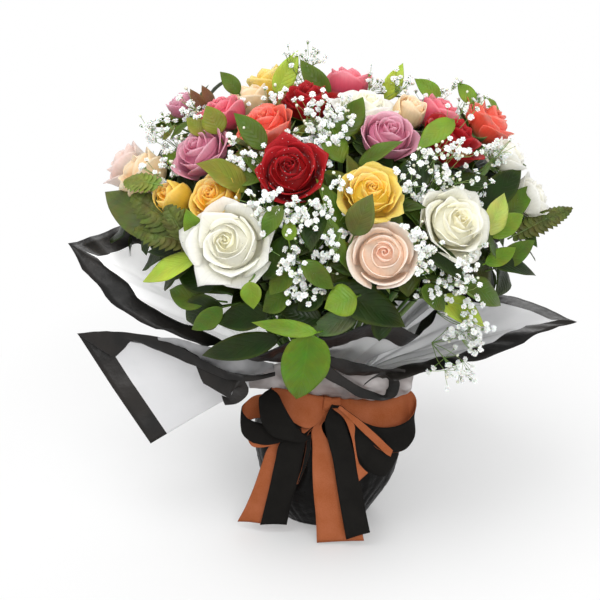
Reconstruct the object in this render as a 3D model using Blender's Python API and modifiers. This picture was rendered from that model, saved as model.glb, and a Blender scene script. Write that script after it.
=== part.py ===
"""A hand-tied rose bouquet that stands in a film-wrapped vase, with a film collar and a two-colour bow.

Run with: blender --background --python part.py
The frame: +Z up, the origin at the centre of the underside, -Y towards the bow, +X to the bow's right.
Lengths are written in millimetres and turned to metres by at() and MM.
"""

import math

import bmesh
import bpy
from mathutils import Matrix, Vector

MM = 0.001
GAP = 0.4                      # clearance between neighbouring solids

# The vase and the film around it, as (radius, height) from the floor up
FILM = 0.8                     # thickness of the film under and around the vase
WRAP_OUTSIDE = [(40, 0), (49, 14), (56, 30), (61, 52), (64, 76), (61, 94), (50, 104), (38.4, 109), (38.2, 120), (38.2, 132)]
VASE_WALL = 2.2
VASE_OUTSIDE = [(38, 1.2), (47.5, 14.5), (54.5, 30.5), (59.5, 52.5), (62.3, 76), (61.2, 84)]
ROUND_SIDES = 28

# The tied neck
TIE_HEIGHT = 120
CORE_RADIUS = 31.0             # the stems where they are pressed together
CORE_BOTTOM, CORE_TOP = 106, 138
TWINE_RADIUS = 1.25
INNER_NECK = 34.8              # middle of the inner layer of collar sheets
OUTER_NECK = 36.2              # middle of the outer layer
SHEET = 1.0
NECK_BOTTOM = 110
# How each layer turns out of the neck: at what height, how far up it is steered, and how far out as a share of its reach
TURN_OUT = {INNER_NECK: (136.5, 15, 0.10), OUTER_NECK: (134, 9, 0.16)}

# Stems
STEM_RADIUS = 2.5
SLOT_SPREAD = 26.0             # distance from the axis of the outermost stem in the core
SLOT_ANGLE = 66                # degrees off the vertical of the outermost rose, seen from FOCUS
STEM_FOOT = 6.0                # height of the cut ends over the floor
STEM_TWIST = 32                # degrees that the bound stems turn below the tie
NECK_OF_BLOOM = 16             # straight stretch of stem under each bloom

# Where the bloom axes meet, and the height from which stems fan out
FOCUS = (0, 0, 200)

# Each rose: its name, the centre of its bloom, and the bloom's radius
ROSES = [
    ("rose_white_front_left", (-78, -152, 301), 29),
    ("rose_blush_front", (43, -166, 294), 24),
    ("rose_cream_right", (103, -131, 312), 26),
    ("rose_yellow_centre", (34, -142, 340), 22),
    ("rose_red_centre", (-30, -125, 354), 26),
    ("rose_mauve_left", (-106, -64, 356), 22),
    ("rose_mauve_right", (50, -84, 375), 21),
    ("rose_yellow_left", (-91, -115, 329), 18),
    ("rose_yellow_bud", (-128, -88, 322), 15),
    ("rose_peach_left", (-161, -18, 324), 23),
    ("rose_blush_far_left", (-178, 27, 322), 19),
    ("rose_pink_left", (-89, -19, 380), 19),
    ("rose_coral_left", (-51, -64, 380), 21),
    ("rose_peach_top", (-68, 13, 386), 18),
    ("rose_yellow_top", (-47, 49, 394), 19),
    ("rose_red_top", (-15, -20, 394), 22),
    ("rose_pink_top", (20, 29, 399), 19),
    ("rose_white_top", (35, -44, 390), 23),
    ("rose_peach_bud", (71, -34, 384), 14),
    ("rose_pink_right", (98, -2, 376), 17),
    ("rose_red_right", (108, -51, 364), 23),
    ("rose_coral_right", (145, 16, 364), 21),
    ("rose_white_right", (158, -22, 342), 16),
    ("rose_white_far_right", (182, -14, 303), 17),
    ("rose_mauve_bud", (-126, 16, 378), 13),
    ("rose_cream_back_right", (151, 82, 302), 23),
    ("rose_red_back_right", (90, 146, 300), 24),
    ("rose_white_back", (4, 170, 296), 24),
    ("rose_pink_back_left", (-82, 146, 300), 23),
    ("rose_yellow_back_left", (-148, 82, 304), 22),
    ("rose_mauve_back_right", (96, 80, 354), 21),
    ("rose_coral_back", (8, 112, 364), 23),
    ("rose_peach_back_left", (-76, 92, 360), 21),
]
# A bloom's outline for a radius of 1, as (radius, height) from the tip of the petals down to the calyx
BLOOM = [(0, 0.62), (0.30, 0.66), (0.62, 0.60), (0.90, 0.30), (0.96, 0), (0.78, -0.42), (0.42, -0.76), (0.14, -0.94)]
BLOOM_SIDES = 10

# Greenery that collars the roses: its name, the azimuth, the height of the leaf roots, and the leaves' rise and droop
GREENS = [
    ("foliage_front", -8, 246, 0.12, 8),
    ("foliage_left", -72, 236, 0.12, 16),
    ("foliage_right", 62, 236, 0.12, 18),
    ("foliage_back", 164, 215, 0.26, 2),
]
LEAF_LENGTH, LEAF_WIDTH, LEAF = 72, 34, 1.4
LEAF_SPREAD = 34               # degrees between the three leaves of a spray
STALK_REACH = 96               # distance from the axis at which the leaves begin
STALK_RADIUS = 1.6

# Gypsophila: its name, the centre of the flower cloud, the cloud's radius, and where its stalk leaves the core
# (as a distance from the axis and an azimuth)
CLOUDS = [
    ("gypsophila_top", (-14, 20, 419), 16, 18, 150),
    ("gypsophila_right", (96, -101, 352), 18, 17, 43),
    ("gypsophila_front_right", (112, -138, 250), 21, 28, 48),
]

# Collar sheets: the name, the neck radius, the azimuths of the neck, and the outer edge, which has a point for
# each corner or turn of the sheet, in the order of the azimuths
SHEETS = [
    ("collar_upper_left", INNER_NECK, (-150, -52), [(-118, 122, 236), (-196, 52, 254), (-230, 8, 254), (-178, -42, 216), (-104, -62, 184)]),
    ("collar_front", INNER_NECK, (-48, 40), [(-62, -104, 190), (-14, -120, 205), (26, -130, 219), (57, -129, 217), (76, -122, 210), (98, -104, 228)]),
    ("collar_back_right", INNER_NECK, (62, 146), [(158, 22, 226), (176, 84, 244), (142, 142, 252), (84, 168, 238)]),
    ("collar_back_left", OUTER_NECK, (153, 207), [(64, 176, 214), (-2, 192, 232), (-78, 178, 240), (-104, 138, 212)]),
    ("collar_lower_left", OUTER_NECK, (-88, -38), [(-150, -46, 92), (-186, -46, 134), (-218, -40, 182), (-150, -62, 171), (-84, -84, 150)]),
    ("collar_right", OUTER_NECK, (18, 116), [(34, -104, 164), (100, -74, 172), (166, -42, 182), (228, 0, 192), (176, 62, 190), (110, 86, 192)]),
]
SHEET_COLUMNS, SHEET_ROWS = 14, 6

# Ribbon
RIBBON_WIDTH = 28
RIBBON = 0.9
BAND_RADIUS = 39.1             # middle of the band around the neck
KNOT = (6, -47.2, 122)
# Loops: name, colour, where it starts, its length and depth, its heading from above, how much it drops, and its roll
LOOPS = [
    ("bow_loop_right", "orange", (14.2, -50, 124), 66, 26, -6, 2, 20),
    ("bow_loop_left", "orange", (-2.2, -50, 124), 62, 22, 188, 2, 20),
    ("bow_loop_low_right", "black", (17, -66.6, 103), 54, 10, -14, 28, -14),
    ("bow_loop_low_left", "black", (-5, -66.9, 103), 58, 12, 196, 16, -14),
]
# Tails: name, and the middle line of the ribbon as it falls, as (distance from the axis, azimuth, height)
TAILS = [
    ("tail_orange_front", [(44.5, 7.7, 113.4), (54, 6.2, 106.5), (63.2, 5.4, 95), (66, 5, 80), (69.5, 5, 56), (75.5, 9, 28), (80, 10.5, 2)]),
    ("tail_black_front", [(47.5, 7.3, 113.4), (57.3, 6.2, 107.5), (65.5, 6, 96), (68.3, 7, 80), (71.8, 11, 56), (78.3, 19, 30), (85.3, 21, 7)]),
    ("tail_black_left", [(62.8, -19.5, 91), (65.2, -24, 76), (67.5, -29.5, 54), (71, -35, 32), (74, -41, 9)]),
    ("tail_orange_left", [(62.8, -44, 91), (65.2, -49, 76), (68.5, -53.5, 54), (75, -57.5, 32), (81, -61, 9)]),
]

COLOURS = {
    "white": (0.90, 0.89, 0.80), "cream": (0.90, 0.88, 0.66), "blush": (0.90, 0.68, 0.58), "yellow": (0.93, 0.62, 0.07),
    "red": (0.45, 0.01, 0.02), "mauve": (0.62, 0.27, 0.45), "peach": (0.90, 0.66, 0.40), "pink": (0.80, 0.10, 0.22),
    "coral": (0.85, 0.10, 0.06),
}


def at(point):
    """A point given in millimetres, in metres."""
    return Vector(point) * MM


def around(radius, azimuth, height):
    """A point at an azimuth: 0 faces -Y, 90 faces +X."""
    turn = math.radians(azimuth)
    return Vector((radius * math.sin(turn), -radius * math.cos(turn), height))


def start_scene():
    for old in list(bpy.data.objects):
        bpy.data.objects.remove(old, do_unlink=True)
    bouquet = bpy.data.collections.new("rose_bouquet")
    shapers = bpy.data.collections.new("cutters")
    bpy.context.scene.collection.children.link(bouquet)
    bpy.context.scene.collection.children.link(shapers)
    return bouquet, shapers


BOUQUET, SHAPERS = start_scene()


def material(name, colour, roughness, alpha=1.0):
    """A Principled material, made once for each name."""
    made = bpy.data.materials.get(name)
    if made is None:
        made = bpy.data.materials.new(name)
        made.use_nodes = True
        shader = made.node_tree.nodes["Principled BSDF"]
        shader.inputs["Base Color"].default_value = (*colour, 1)
        shader.inputs["Roughness"].default_value = roughness
        shader.inputs["Metallic"].default_value = 0.0
        shader.inputs["Alpha"].default_value = alpha
    return made


def place(name, mesh, finish, collection=BOUQUET):
    """An object for a mesh, with its finish."""
    made = bpy.data.objects.new(name, mesh)
    collection.objects.link(made)
    if finish:
        mesh.materials.clear()
        mesh.materials.append(finish)
    return made


def helper(made):
    """Marks an object as a shaping aid that is no part of the bouquet."""
    made.hide_render = True
    made.display_type = "WIRE"
    return made


def turned(name, outline, sides, finish, wall=0.0):
    """A turned solid from an outline given top first, or a shell of it with a wall on the inside."""
    mesh = bpy.data.meshes.new(name)
    shape = bmesh.new()
    points = [shape.verts.new((radius * MM, 0, height * MM)) for radius, height in outline]
    for first, second in zip(points, points[1:]):
        shape.edges.new((first, second))
    shape.to_mesh(mesh)
    shape.free()
    made = place(name, mesh, finish)
    screw = made.modifiers.new("turn", "SCREW")
    screw.steps = screw.render_steps = sides
    screw.use_merge_vertices = True
    screw.merge_threshold = 0.0001
    if wall:
        shell = made.modifiers.new("wall", "SOLIDIFY")
        shell.thickness = wall * MM
        shell.offset = -1
    return made


def tube(name, points, radius, sides_each_quarter, finish, collection=BOUQUET):
    """A closed tube along points, as a mesh whose caps are joined to its sides."""
    path = bpy.data.curves.new(name, "CURVE")
    path.dimensions = "3D"
    path.bevel_depth = radius * MM
    path.bevel_resolution = sides_each_quarter
    path.use_fill_caps = True
    line = path.splines.new("POLY")
    line.points.add(len(points) - 1)
    for knot, point in zip(line.points, points):
        knot.co = (*at(point), 1)
    guide = bpy.data.objects.new(name + "_guide", path)
    bpy.context.scene.collection.objects.link(guide)
    bpy.context.view_layer.update()
    graph = bpy.context.evaluated_depsgraph_get()
    mesh = bpy.data.meshes.new_from_object(guide.evaluated_get(graph))
    bpy.data.objects.remove(guide)
    shape = bmesh.new()
    shape.from_mesh(mesh)
    bmesh.ops.remove_doubles(shape, verts=shape.verts, dist=0.00001)
    bmesh.ops.recalc_face_normals(shape, faces=shape.faces)
    shape.to_mesh(mesh)
    shape.free()
    mesh.name = name
    return place(name, mesh, finish, collection)


def unite(made, helpers_name, helpers):
    """Joins helper solids onto an object with one Boolean over their collection."""
    group = bpy.data.collections.new(helpers_name)
    SHAPERS.children.link(group)
    for other in helpers:
        SHAPERS.objects.unlink(other)
        group.objects.link(other)
        helper(other)
    join = made.modifiers.new("join", "BOOLEAN")
    join.operation = "UNION"
    join.operand_type = "COLLECTION"
    join.collection = group
    return made


# The vase, its film and the tied neck

def build_vase():
    """An open round vase, turned as its outside and given its wall inwards."""
    outline = list(reversed(VASE_OUTSIDE)) + [(0, VASE_OUTSIDE[0][1])]
    made = turned("vase", outline, ROUND_SIDES, material("vase_plastic", (0.05, 0.05, 0.05), 0.4), VASE_WALL)
    return made


def build_wrap():
    """The film that lies under the vase, rises around it and is drawn in to the neck."""
    outline = list(reversed(WRAP_OUTSIDE)) + [(0, 0)]
    return turned("base_wrap", outline, ROUND_SIDES, material("wrap_film", (0.015, 0.015, 0.016), 0.25), FILM)


def build_twine():
    """The tie around the stems."""
    bpy.ops.mesh.primitive_torus_add(
        major_radius=(CORE_RADIUS + TWINE_RADIUS + GAP) * MM, minor_radius=TWINE_RADIUS * MM,
        major_segments=ROUND_SIDES, minor_segments=8, location=at((0, 0, TIE_HEIGHT)),
    )
    made = bpy.context.object
    made.name = made.data.name = "binding_twine"
    for owner in list(made.users_collection):
        owner.objects.unlink(made)
    BOUQUET.objects.link(made)
    made.data.materials.append(material("twine", (0.45, 0.36, 0.22), 0.9))


# Roses and their stems

def bloom_axis(centre):
    return (Vector(centre) - Vector(FOCUS)).normalized()


def slot(centre):
    """Where the stem of a rose crosses the tied core: the further it leans, the further out it is."""
    lean = Vector(centre) - Vector(FOCUS)
    angle = math.degrees(math.acos(lean.normalized().z))
    flat = Vector((lean.x, lean.y, 0))
    reach = SLOT_SPREAD * min(angle / SLOT_ANGLE, 1.0)
    return flat.normalized() * reach


def stem_points(centre, radius):
    """The stem's middle line: cut end, twisted run in the vase, tied core, and the reach up to the calyx."""
    where = slot(centre)
    twist = Matrix.Rotation(math.radians(STEM_TWIST), 3, "Z")
    foot = twist @ where
    axis = bloom_axis(centre)
    calyx = Vector(centre) - axis * (radius * 0.94 + GAP + 0.1)
    return [
        foot + Vector((0, 0, STEM_FOOT)),
        where + Vector((0, 0, CORE_BOTTOM + 2)),
        where + Vector((0, 0, CORE_TOP - 2)),
        calyx - axis * NECK_OF_BLOOM,
        calyx,
    ]


def build_stems():
    """Every rose stem, and the short core in which the tie presses them together, as one bound bundle."""
    green = material("stem_green", (0.10, 0.22, 0.05), 0.5)
    outline = [(0, CORE_TOP), (CORE_RADIUS, CORE_TOP), (CORE_RADIUS, CORE_BOTTOM), (0, CORE_BOTTOM)]
    made = turned("stem_bundle", outline, ROUND_SIDES, green)
    stems = []
    for name, centre, radius in ROSES:
        stems.append(tube(name + "_stem", stem_points(centre, radius), STEM_RADIUS, 0, None, SHAPERS))
    return unite(made, "stem_tubes", stems)


def bloom_mesh(radius, finish):
    """A rose bloom as a solid of its outer shape, with its calyx down and its middle at the origin."""
    made = turned("bloom", [(r * radius, z * radius) for r, z in BLOOM] + [(0, BLOOM[-1][1] * radius)], BLOOM_SIDES, finish)
    graph = bpy.context.evaluated_depsgraph_get()
    mesh = bpy.data.meshes.new_from_object(made.evaluated_get(graph))
    bpy.data.objects.remove(made)
    mesh.shade_smooth()
    return mesh


def build_roses():
    meshes = {}
    for name, centre, radius in ROSES:
        colour = name.split("_")[1]
        finish = material("petals_" + colour, COLOURS[colour], 0.55)
        if (colour, radius) not in meshes:
            meshes[colour, radius] = bloom_mesh(radius, finish)
        made = place(name, meshes[colour, radius], None)
        made.location = at(centre)
        made.rotation_mode = "QUATERNION"
        made.rotation_quaternion = bloom_axis(centre).to_track_quat("Z", "Y")


# Greenery and gypsophila

def leaf(name, root, direction, droop, green):
    """A pointed blade from a grid: widest a third of the way along, with a folded midrib, arching by droop."""
    bpy.ops.mesh.primitive_grid_add(x_subdivisions=5, y_subdivisions=2, size=2)
    made = bpy.context.object
    side = direction.cross(Vector((0, 0, 1))).normalized()
    for vertex in made.data.vertices:
        along = (vertex.co.x + 1) / 2
        width = LEAF_WIDTH / 2 * (math.sin(math.pi * along ** 0.75) * 0.94 + 0.06)
        arch = droop * along * along
        fold = abs(vertex.co.y) * width * 0.18
        vertex.co = at(root + direction * (LEAF_LENGTH * along) + side * (vertex.co.y * width) + Vector((0, 0, fold - arch)))
    thick = made.modifiers.new("blade", "SOLIDIFY")
    thick.thickness = LEAF * MM
    thick.offset = 0
    bpy.context.view_layer.update()
    graph = bpy.context.evaluated_depsgraph_get()
    mesh = bpy.data.meshes.new_from_object(made.evaluated_get(graph))
    bpy.data.objects.remove(made)
    shape = bmesh.new()
    shape.from_mesh(mesh)
    bmesh.ops.recalc_face_normals(shape, faces=shape.faces)
    shape.to_mesh(mesh)
    shape.free()
    return place(name, mesh, green, SHAPERS)


def build_greens():
    """Sprays of three leaves on one stalk, each stalk starting on the tied core."""
    green = material("leaf_green", (0.06, 0.16, 0.03), 0.4)
    for name, azimuth, height, rise, droop in GREENS:
        start = around(CORE_RADIUS - 2.4, azimuth, CORE_TOP + GAP)
        bend = around(CORE_RADIUS + 10, azimuth, CORE_TOP + 26)
        tip = around(STALK_REACH, azimuth, height)
        made = tube(name, [start, start + Vector((0, 0, 8)), bend, tip], STALK_RADIUS, 0, green)
        leaves = []
        for number, (side, back) in enumerate(((0, 3), (-1, 15), (1, 26))):
            heading = azimuth + side * LEAF_SPREAD
            direction = (around(1, heading, 0) + Vector((0, 0, rise))).normalized()
            root = tip.lerp(bend, back / (tip - bend).length)
            leaves.append(leaf(f"{name}_leaf_{number + 1}", root, direction, droop, green))
        unite(made, name + "_leaves", leaves)


def build_gypsophila():
    """Each spray's flower cloud, as a solid of its outer shape, on the stalk that carries it from the core."""
    white = material("gypsophila_white", (0.92, 0.92, 0.88), 0.7)
    for name, centre, radius, reach, azimuth in CLOUDS:
        bpy.ops.mesh.primitive_ico_sphere_add(subdivisions=2, radius=radius * MM, location=at(centre))
        cloud = bpy.context.object
        cloud.name = cloud.data.name = name
        for owner in list(cloud.users_collection):
            owner.objects.unlink(cloud)
        BOUQUET.objects.link(cloud)
        cloud.data.materials.append(white)
        base = around(reach, azimuth, CORE_TOP + GAP)
        axis = (Vector(centre) - Vector(FOCUS)).normalized()
        inside = Vector(centre) - axis * radius * 0.5
        stalk = tube(name + "_stalk", [base, base + Vector((0, 0, 6)), inside - axis * 14, inside], STALK_RADIUS, 0, white, SHAPERS)
        unite(cloud, name + "_stalks", [stalk])


# The collar of film sheets

def along_line(points, share):
    """The point that lies a share of the way along a line of points, by length."""
    lengths = [(b - a).length for a, b in zip(points, points[1:])]
    left = share * sum(lengths)
    for a, b, length in zip(points, points[1:], lengths):
        if left <= length:
            return a.lerp(b, left / length)
        left -= length
    return points[-1]


def build_sheet(name, neck_radius, azimuths, edge, finish):
    """A sheet of film: held upright in the neck, then swept out in a curve to its outer edge."""
    bpy.ops.mesh.primitive_grid_add(x_subdivisions=SHEET_COLUMNS, y_subdivisions=SHEET_ROWS, size=2)
    made = bpy.context.object
    made.name = made.data.name = name
    outer = [Vector(point) for point in edge]
    neck_top, steer_up, steer_out = TURN_OUT[neck_radius]
    for vertex in made.data.vertices:
        across, up = (vertex.co.x + 1) / 2, (vertex.co.y + 1) / 2
        azimuth = azimuths[0] + (azimuths[1] - azimuths[0]) * across
        rise = max(0.0, up * SHEET_ROWS - 1) / (SHEET_ROWS - 1)
        neck = around(neck_radius, azimuth, neck_top if up > 0 else NECK_BOTTOM)
        target = along_line(outer, across)
        bend = neck + Vector((0, 0, steer_up)) + (target - neck) * steer_out
        vertex.co = at(neck * (1 - rise) ** 2 + bend * (2 * rise * (1 - rise)) + target * rise ** 2)
    for owner in list(made.users_collection):
        owner.objects.unlink(made)
    BOUQUET.objects.link(made)
    made.data.materials.append(finish)
    thick = made.modifiers.new("film", "SOLIDIFY")
    thick.thickness = SHEET * MM
    thick.offset = 0
    thick.use_even_offset = True


def build_collar():
    film = material("collar_film", (0.85, 0.85, 0.86), 0.35, 0.7)
    for name, neck_radius, azimuths, edge in SHEETS:
        build_sheet(name, neck_radius, azimuths, edge, film)


# The ribbon

def build_band():
    """The ribbon's turn around the neck."""
    outline = [(BAND_RADIUS, TIE_HEIGHT + 11), (BAND_RADIUS, TIE_HEIGHT - 9)]
    made = turned("ribbon_band", outline, ROUND_SIDES, material("ribbon_orange", (0.60, 0.20, 0.07), 0.8), RIBBON)
    made.modifiers["wall"].offset = 0


def build_knot():
    """The small wrapped knot at the front, rounded from a block."""
    bpy.ops.mesh.primitive_cube_add(size=1, location=at(KNOT))
    made = bpy.context.object
    made.name = made.data.name = "bow_knot"
    made.scale = Vector((15, 14, 14)) * MM
    bpy.ops.object.transform_apply(location=False, rotation=False, scale=True)
    for owner in list(made.users_collection):
        owner.objects.unlink(made)
    BOUQUET.objects.link(made)
    made.data.materials.append(material("ribbon_orange", (0.60, 0.20, 0.07), 0.8))
    rounding = made.modifiers.new("round", "BEVEL")
    rounding.width = 3.5 * MM
    rounding.segments = 2


def loop_outline(length, depth):
    """A drop shape in a plane: closed and narrow at the knot, round at its far end."""
    points = []
    steps = 10
    for step in range(steps + 1):
        share = step / steps
        x = length * math.sin(math.pi * share / 2) ** 1.2
        y = depth / 2 * math.sin(math.pi * share ** 1.15) + 1.2 * (1 - share)
        points.append((x, y))
    return points + [(x, -y) for x, y in reversed(points[:-1])]


def build_loop(name, colour, start, length, depth, heading, drop, roll):
    """A ribbon loop: a drop-shaped band, extruded to the ribbon's width and turned into its place at the knot."""
    path = bpy.data.curves.new(name, "CURVE")
    path.dimensions = "2D"
    path.fill_mode = "BOTH"
    path.extrude = RIBBON_WIDTH / 2 * MM
    outer = loop_outline(length, depth)
    inner = loop_outline(length - 2 * RIBBON - 2.4, depth - 2 * RIBBON - 0.4)
    for outline, shift in ((outer, 0.0), (inner, RIBBON + 1.6)):
        ring = path.splines.new("POLY")
        ring.points.add(len(outline) - 1)
        for knot, (x, y) in zip(ring.points, outline):
            knot.co = ((x + shift) * MM, y * MM, 0, 1)
        ring.use_cyclic_u = True
    made = bpy.data.objects.new(name, path)
    BOUQUET.objects.link(made)
    path.materials.append(material("ribbon_" + colour, (0.60, 0.20, 0.07) if colour == "orange" else (0.02, 0.02, 0.02), 0.8))
    turn = Matrix.Rotation(math.radians(heading), 4, "Z") @ Matrix.Rotation(math.radians(drop), 4, "Y")
    if abs(heading) > 90:
        roll = -roll
    turn = turn @ Matrix.Rotation(math.radians(roll), 4, "X")
    made.matrix_world = Matrix.Translation(at(start)) @ turn


def build_tail(name, line):
    """A flat tail of ribbon that falls along a line of points, facing outwards."""
    colour = name.split("_")[1]
    bpy.ops.mesh.primitive_grid_add(x_subdivisions=1, y_subdivisions=len(line) - 1, size=2)
    made = bpy.context.object
    made.name = made.data.name = name
    points = [around(*point) for point in line]
    for vertex in made.data.vertices:
        row = round((vertex.co.y + 1) / 2 * (len(line) - 1))
        here = points[row]
        facing = Vector((here.x, here.y, 0)).normalized()
        fall = (points[min(row + 1, len(points) - 1)] - points[max(row - 1, 0)]).normalized()
        side = fall.cross(facing).normalized()
        width = RIBBON_WIDTH / 2 * (0.5 if row == 0 else 0.6 if here.z > 90 else 0.9)
        vertex.co = at(here + side * (vertex.co.x * width))
    for owner in list(made.users_collection):
        owner.objects.unlink(made)
    BOUQUET.objects.link(made)
    made.data.materials.append(material("ribbon_" + colour, (0.60, 0.20, 0.07) if colour == "orange" else (0.02, 0.02, 0.02), 0.8))
    thick = made.modifiers.new("ribbon", "SOLIDIFY")
    thick.thickness = RIBBON * MM
    thick.offset = 0


def build_bow():
    build_band()
    build_knot()
    for loop in LOOPS:
        build_loop(*loop)
    for name, line in TAILS:
        build_tail(name, line)


build_vase()
build_wrap()
build_twine()
build_stems()
build_roses()
build_greens()
build_gypsophila()
build_collar()
build_bow()
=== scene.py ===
"""The look of a hand-tied rose bouquet in a film collar, standing in a wrapped vase with a two-colour bow.

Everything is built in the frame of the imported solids: metres, +Z up, the bow towards -Y, the floor at z = 0.
Shapes are given in millimetres and turned to metres by mm().
"""

import math
import random

import bmesh
import bpy
from mathutils import Matrix, Vector, noise


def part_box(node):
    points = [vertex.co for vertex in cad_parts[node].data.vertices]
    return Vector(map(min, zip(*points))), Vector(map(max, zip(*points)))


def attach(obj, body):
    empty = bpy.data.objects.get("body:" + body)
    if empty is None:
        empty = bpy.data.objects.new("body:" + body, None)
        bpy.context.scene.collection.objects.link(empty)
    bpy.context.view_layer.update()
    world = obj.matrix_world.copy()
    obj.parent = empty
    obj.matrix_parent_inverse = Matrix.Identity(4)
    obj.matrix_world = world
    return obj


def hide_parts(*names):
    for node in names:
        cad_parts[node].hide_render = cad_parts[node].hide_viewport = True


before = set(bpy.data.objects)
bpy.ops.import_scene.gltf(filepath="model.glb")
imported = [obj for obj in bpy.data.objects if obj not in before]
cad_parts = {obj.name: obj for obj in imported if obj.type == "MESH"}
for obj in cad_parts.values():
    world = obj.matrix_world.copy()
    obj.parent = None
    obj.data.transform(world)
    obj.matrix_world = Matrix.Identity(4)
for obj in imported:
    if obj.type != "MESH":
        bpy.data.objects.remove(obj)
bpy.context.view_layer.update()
MM = 0.001
UP = Vector((0, 0, 1))
FOCUS = Vector((0, 0, 200))        # the bloom axes meet here
GOLDEN_TURN = 2.39996              # radians from one petal or leaf of a spiral to the next
GOLDEN_AZIMUTH = 137.5             # the same for the leaves of the dome, in degrees
MERGE = 1e-4                       # points closer than this, in millimetres, become one


def mm(point):
    """A point given in millimetres, in metres."""
    return Vector(point) * MM


def middle(node):
    """The middle of a solid's box, in millimetres."""
    low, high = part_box(node)
    return (low + high) / 2 / MM


def around(radius, azimuth, height):
    """A point at an azimuth in degrees: 0 faces -Y, 90 faces +X."""
    turn = math.radians(azimuth)
    return Vector((radius * math.sin(turn), -radius * math.cos(turn), height))


def blend(low, high, share):
    return low + (high - low) * share


def ease(low, high, value):
    """0 below low, 1 above high and smooth between them."""
    share = min(max((value - low) / (high - low), 0.0), 1.0)
    return share * share * (3 - 2 * share)


def mixed(first, second, share):
    return tuple(blend(a, b, share) for a, b in zip(first, second))


def wobble(point, scale, seed):
    """Smooth noise from about -1 to 1 at a point in millimetres."""
    return noise.noise(Vector(point) / scale + Vector((seed * 7.3, seed * 3.1, seed * 5.7)))


# Working with meshes

def new_shape():
    shape = bmesh.new()
    shape.loops.layers.uv.new("UVMap")
    shape.verts.layers.float_color.new("tint")
    return shape


def grid(shape, columns, rows):
    """A flat grid as (across, along, vertex) with across and along from 0 to 1, and its faces."""
    uv = shape.loops.layers.uv.active
    made = bmesh.ops.create_grid(shape, x_segments=columns, y_segments=rows, size=1)["verts"]
    points = [((v.co.x + 1) / 2, (v.co.y + 1) / 2, v) for v in made]
    faces = {face for v in made for face in v.link_faces}
    for face in faces:
        for loop in face.loops:
            loop[uv].uv = ((loop.vert.co.x + 1) / 2, (loop.vert.co.y + 1) / 2)
    return points, faces


def add_copy(shape, mesh, matrix):
    """Adds a turned and scaled copy of a small mesh to a shape."""
    moved = mesh.copy()
    moved.transform(matrix)
    shape.from_mesh(moved)
    bpy.data.meshes.remove(moved)


def close_seam(shape, made):
    """Joins the first and the last column of a grid that goes all the way round."""
    seam = [vertex for across, _, vertex in made if across < 0.001 or across > 0.999]
    bmesh.ops.remove_doubles(shape, verts=seam, dist=MERGE)


def drawn(rng, *limits):
    """A random number between each pair of limits."""
    return [rng.uniform(low, high) for low, high in limits]


def scatter(rng, *reaches):
    """A random step that stays within the given reaches on both sides."""
    return Vector([rng.uniform(-reach, reach) for reach in reaches])


def finish_piece(name, shape, materials, replaces=(), wall=0.0, offset=0.0):
    """Turns a shape in millimetres into a finished piece at the origin that rides on the bouquet."""
    bmesh.ops.scale(shape, vec=(MM, MM, MM), verts=shape.verts)
    mesh = bpy.data.meshes.new(name)
    shape.to_mesh(mesh)
    shape.free()
    for material in materials:
        mesh.materials.append(material)
    mesh.shade_smooth()
    piece = bpy.data.objects.new(name, mesh)
    bpy.context.scene.collection.objects.link(piece)
    if wall:
        thickness = piece.modifiers.new("thickness", "SOLIDIFY")
        thickness.thickness = wall * MM
        thickness.offset = offset
    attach(piece, "root")
    if replaces:
        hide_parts(*replaces)
    return piece


# Materials

def principled(name, roughness, **settings):
    """A new material, its node tree and its shader, with constant settings by socket name."""
    material = bpy.data.materials.new(name)
    material.use_nodes = True
    tree = material.node_tree
    shader = tree.nodes["Principled BSDF"]
    shader.inputs["Roughness"].default_value = roughness
    for socket, value in settings.items():
        shader.inputs[socket.replace("_", " ")].default_value = value
    return material, tree, shader


def node(tree, kind, **settings):
    made = tree.nodes.new(kind)
    for key, value in settings.items():
        setattr(made, key, value)
    return made


def link(tree, source, target):
    tree.links.new(source, target)


def noise_node(tree, vector, scale, detail=3.0, roughness=0.55):
    made = node(tree, "ShaderNodeTexNoise")
    made.inputs["Scale"].default_value = scale
    made.inputs["Detail"].default_value = detail
    made.inputs["Roughness"].default_value = roughness
    link(tree, vector, made.inputs["Vector"])
    return made


def maths(tree, operation, first, second=0.0, third=None, clamp=False):
    made = node(tree, "ShaderNodeMath", operation=operation, use_clamp=clamp)
    for place, value in enumerate((first, second, third)):
        if value is None:
            continue
        if isinstance(value, (int, float)):
            made.inputs[place].default_value = value
        else:
            link(tree, value, made.inputs[place])
    return made.outputs[0]


def ranged(tree, value, low, high, to_low, to_high):
    made = node(tree, "ShaderNodeMapRange")
    link(tree, value, made.inputs["Value"])
    made.inputs["From Min"].default_value = low
    made.inputs["From Max"].default_value = high
    made.inputs["To Min"].default_value = to_low
    made.inputs["To Max"].default_value = to_high
    return made.outputs["Result"]


def mix_colour(tree, share, first, second, blend_type="MIX"):
    made = node(tree, "ShaderNodeMix", data_type="RGBA", blend_type=blend_type)
    for place, value in (("Factor", share), ("A", first), ("B", second)):
        socket = [s for s in made.inputs if s.name == place and s.type == ("VALUE" if place == "Factor" else "RGBA")][0]
        if isinstance(value, (int, float)):
            socket.default_value = value
        elif isinstance(value, tuple):
            socket.default_value = (*value, 1)
        else:
            link(tree, value, socket)
    return [s for s in made.outputs if s.type == "RGBA"][0]


def bump(tree, shader, height, strength, distance):
    made = node(tree, "ShaderNodeBump")
    made.inputs["Strength"].default_value = strength
    made.inputs["Distance"].default_value = distance
    link(tree, height, made.inputs["Height"])
    link(tree, made.outputs["Normal"], shader.inputs["Normal"])


def coordinates(tree, output="Object", scale=(1, 1, 1)):
    source = node(tree, "ShaderNodeTexCoord")
    place = node(tree, "ShaderNodeMapping")
    place.inputs["Scale"].default_value = scale
    link(tree, source.outputs[output], place.inputs["Vector"])
    return place.outputs["Vector"]


def tint_of(tree):
    return node(tree, "ShaderNodeAttribute", attribute_name="tint").outputs["Color"]


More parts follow.
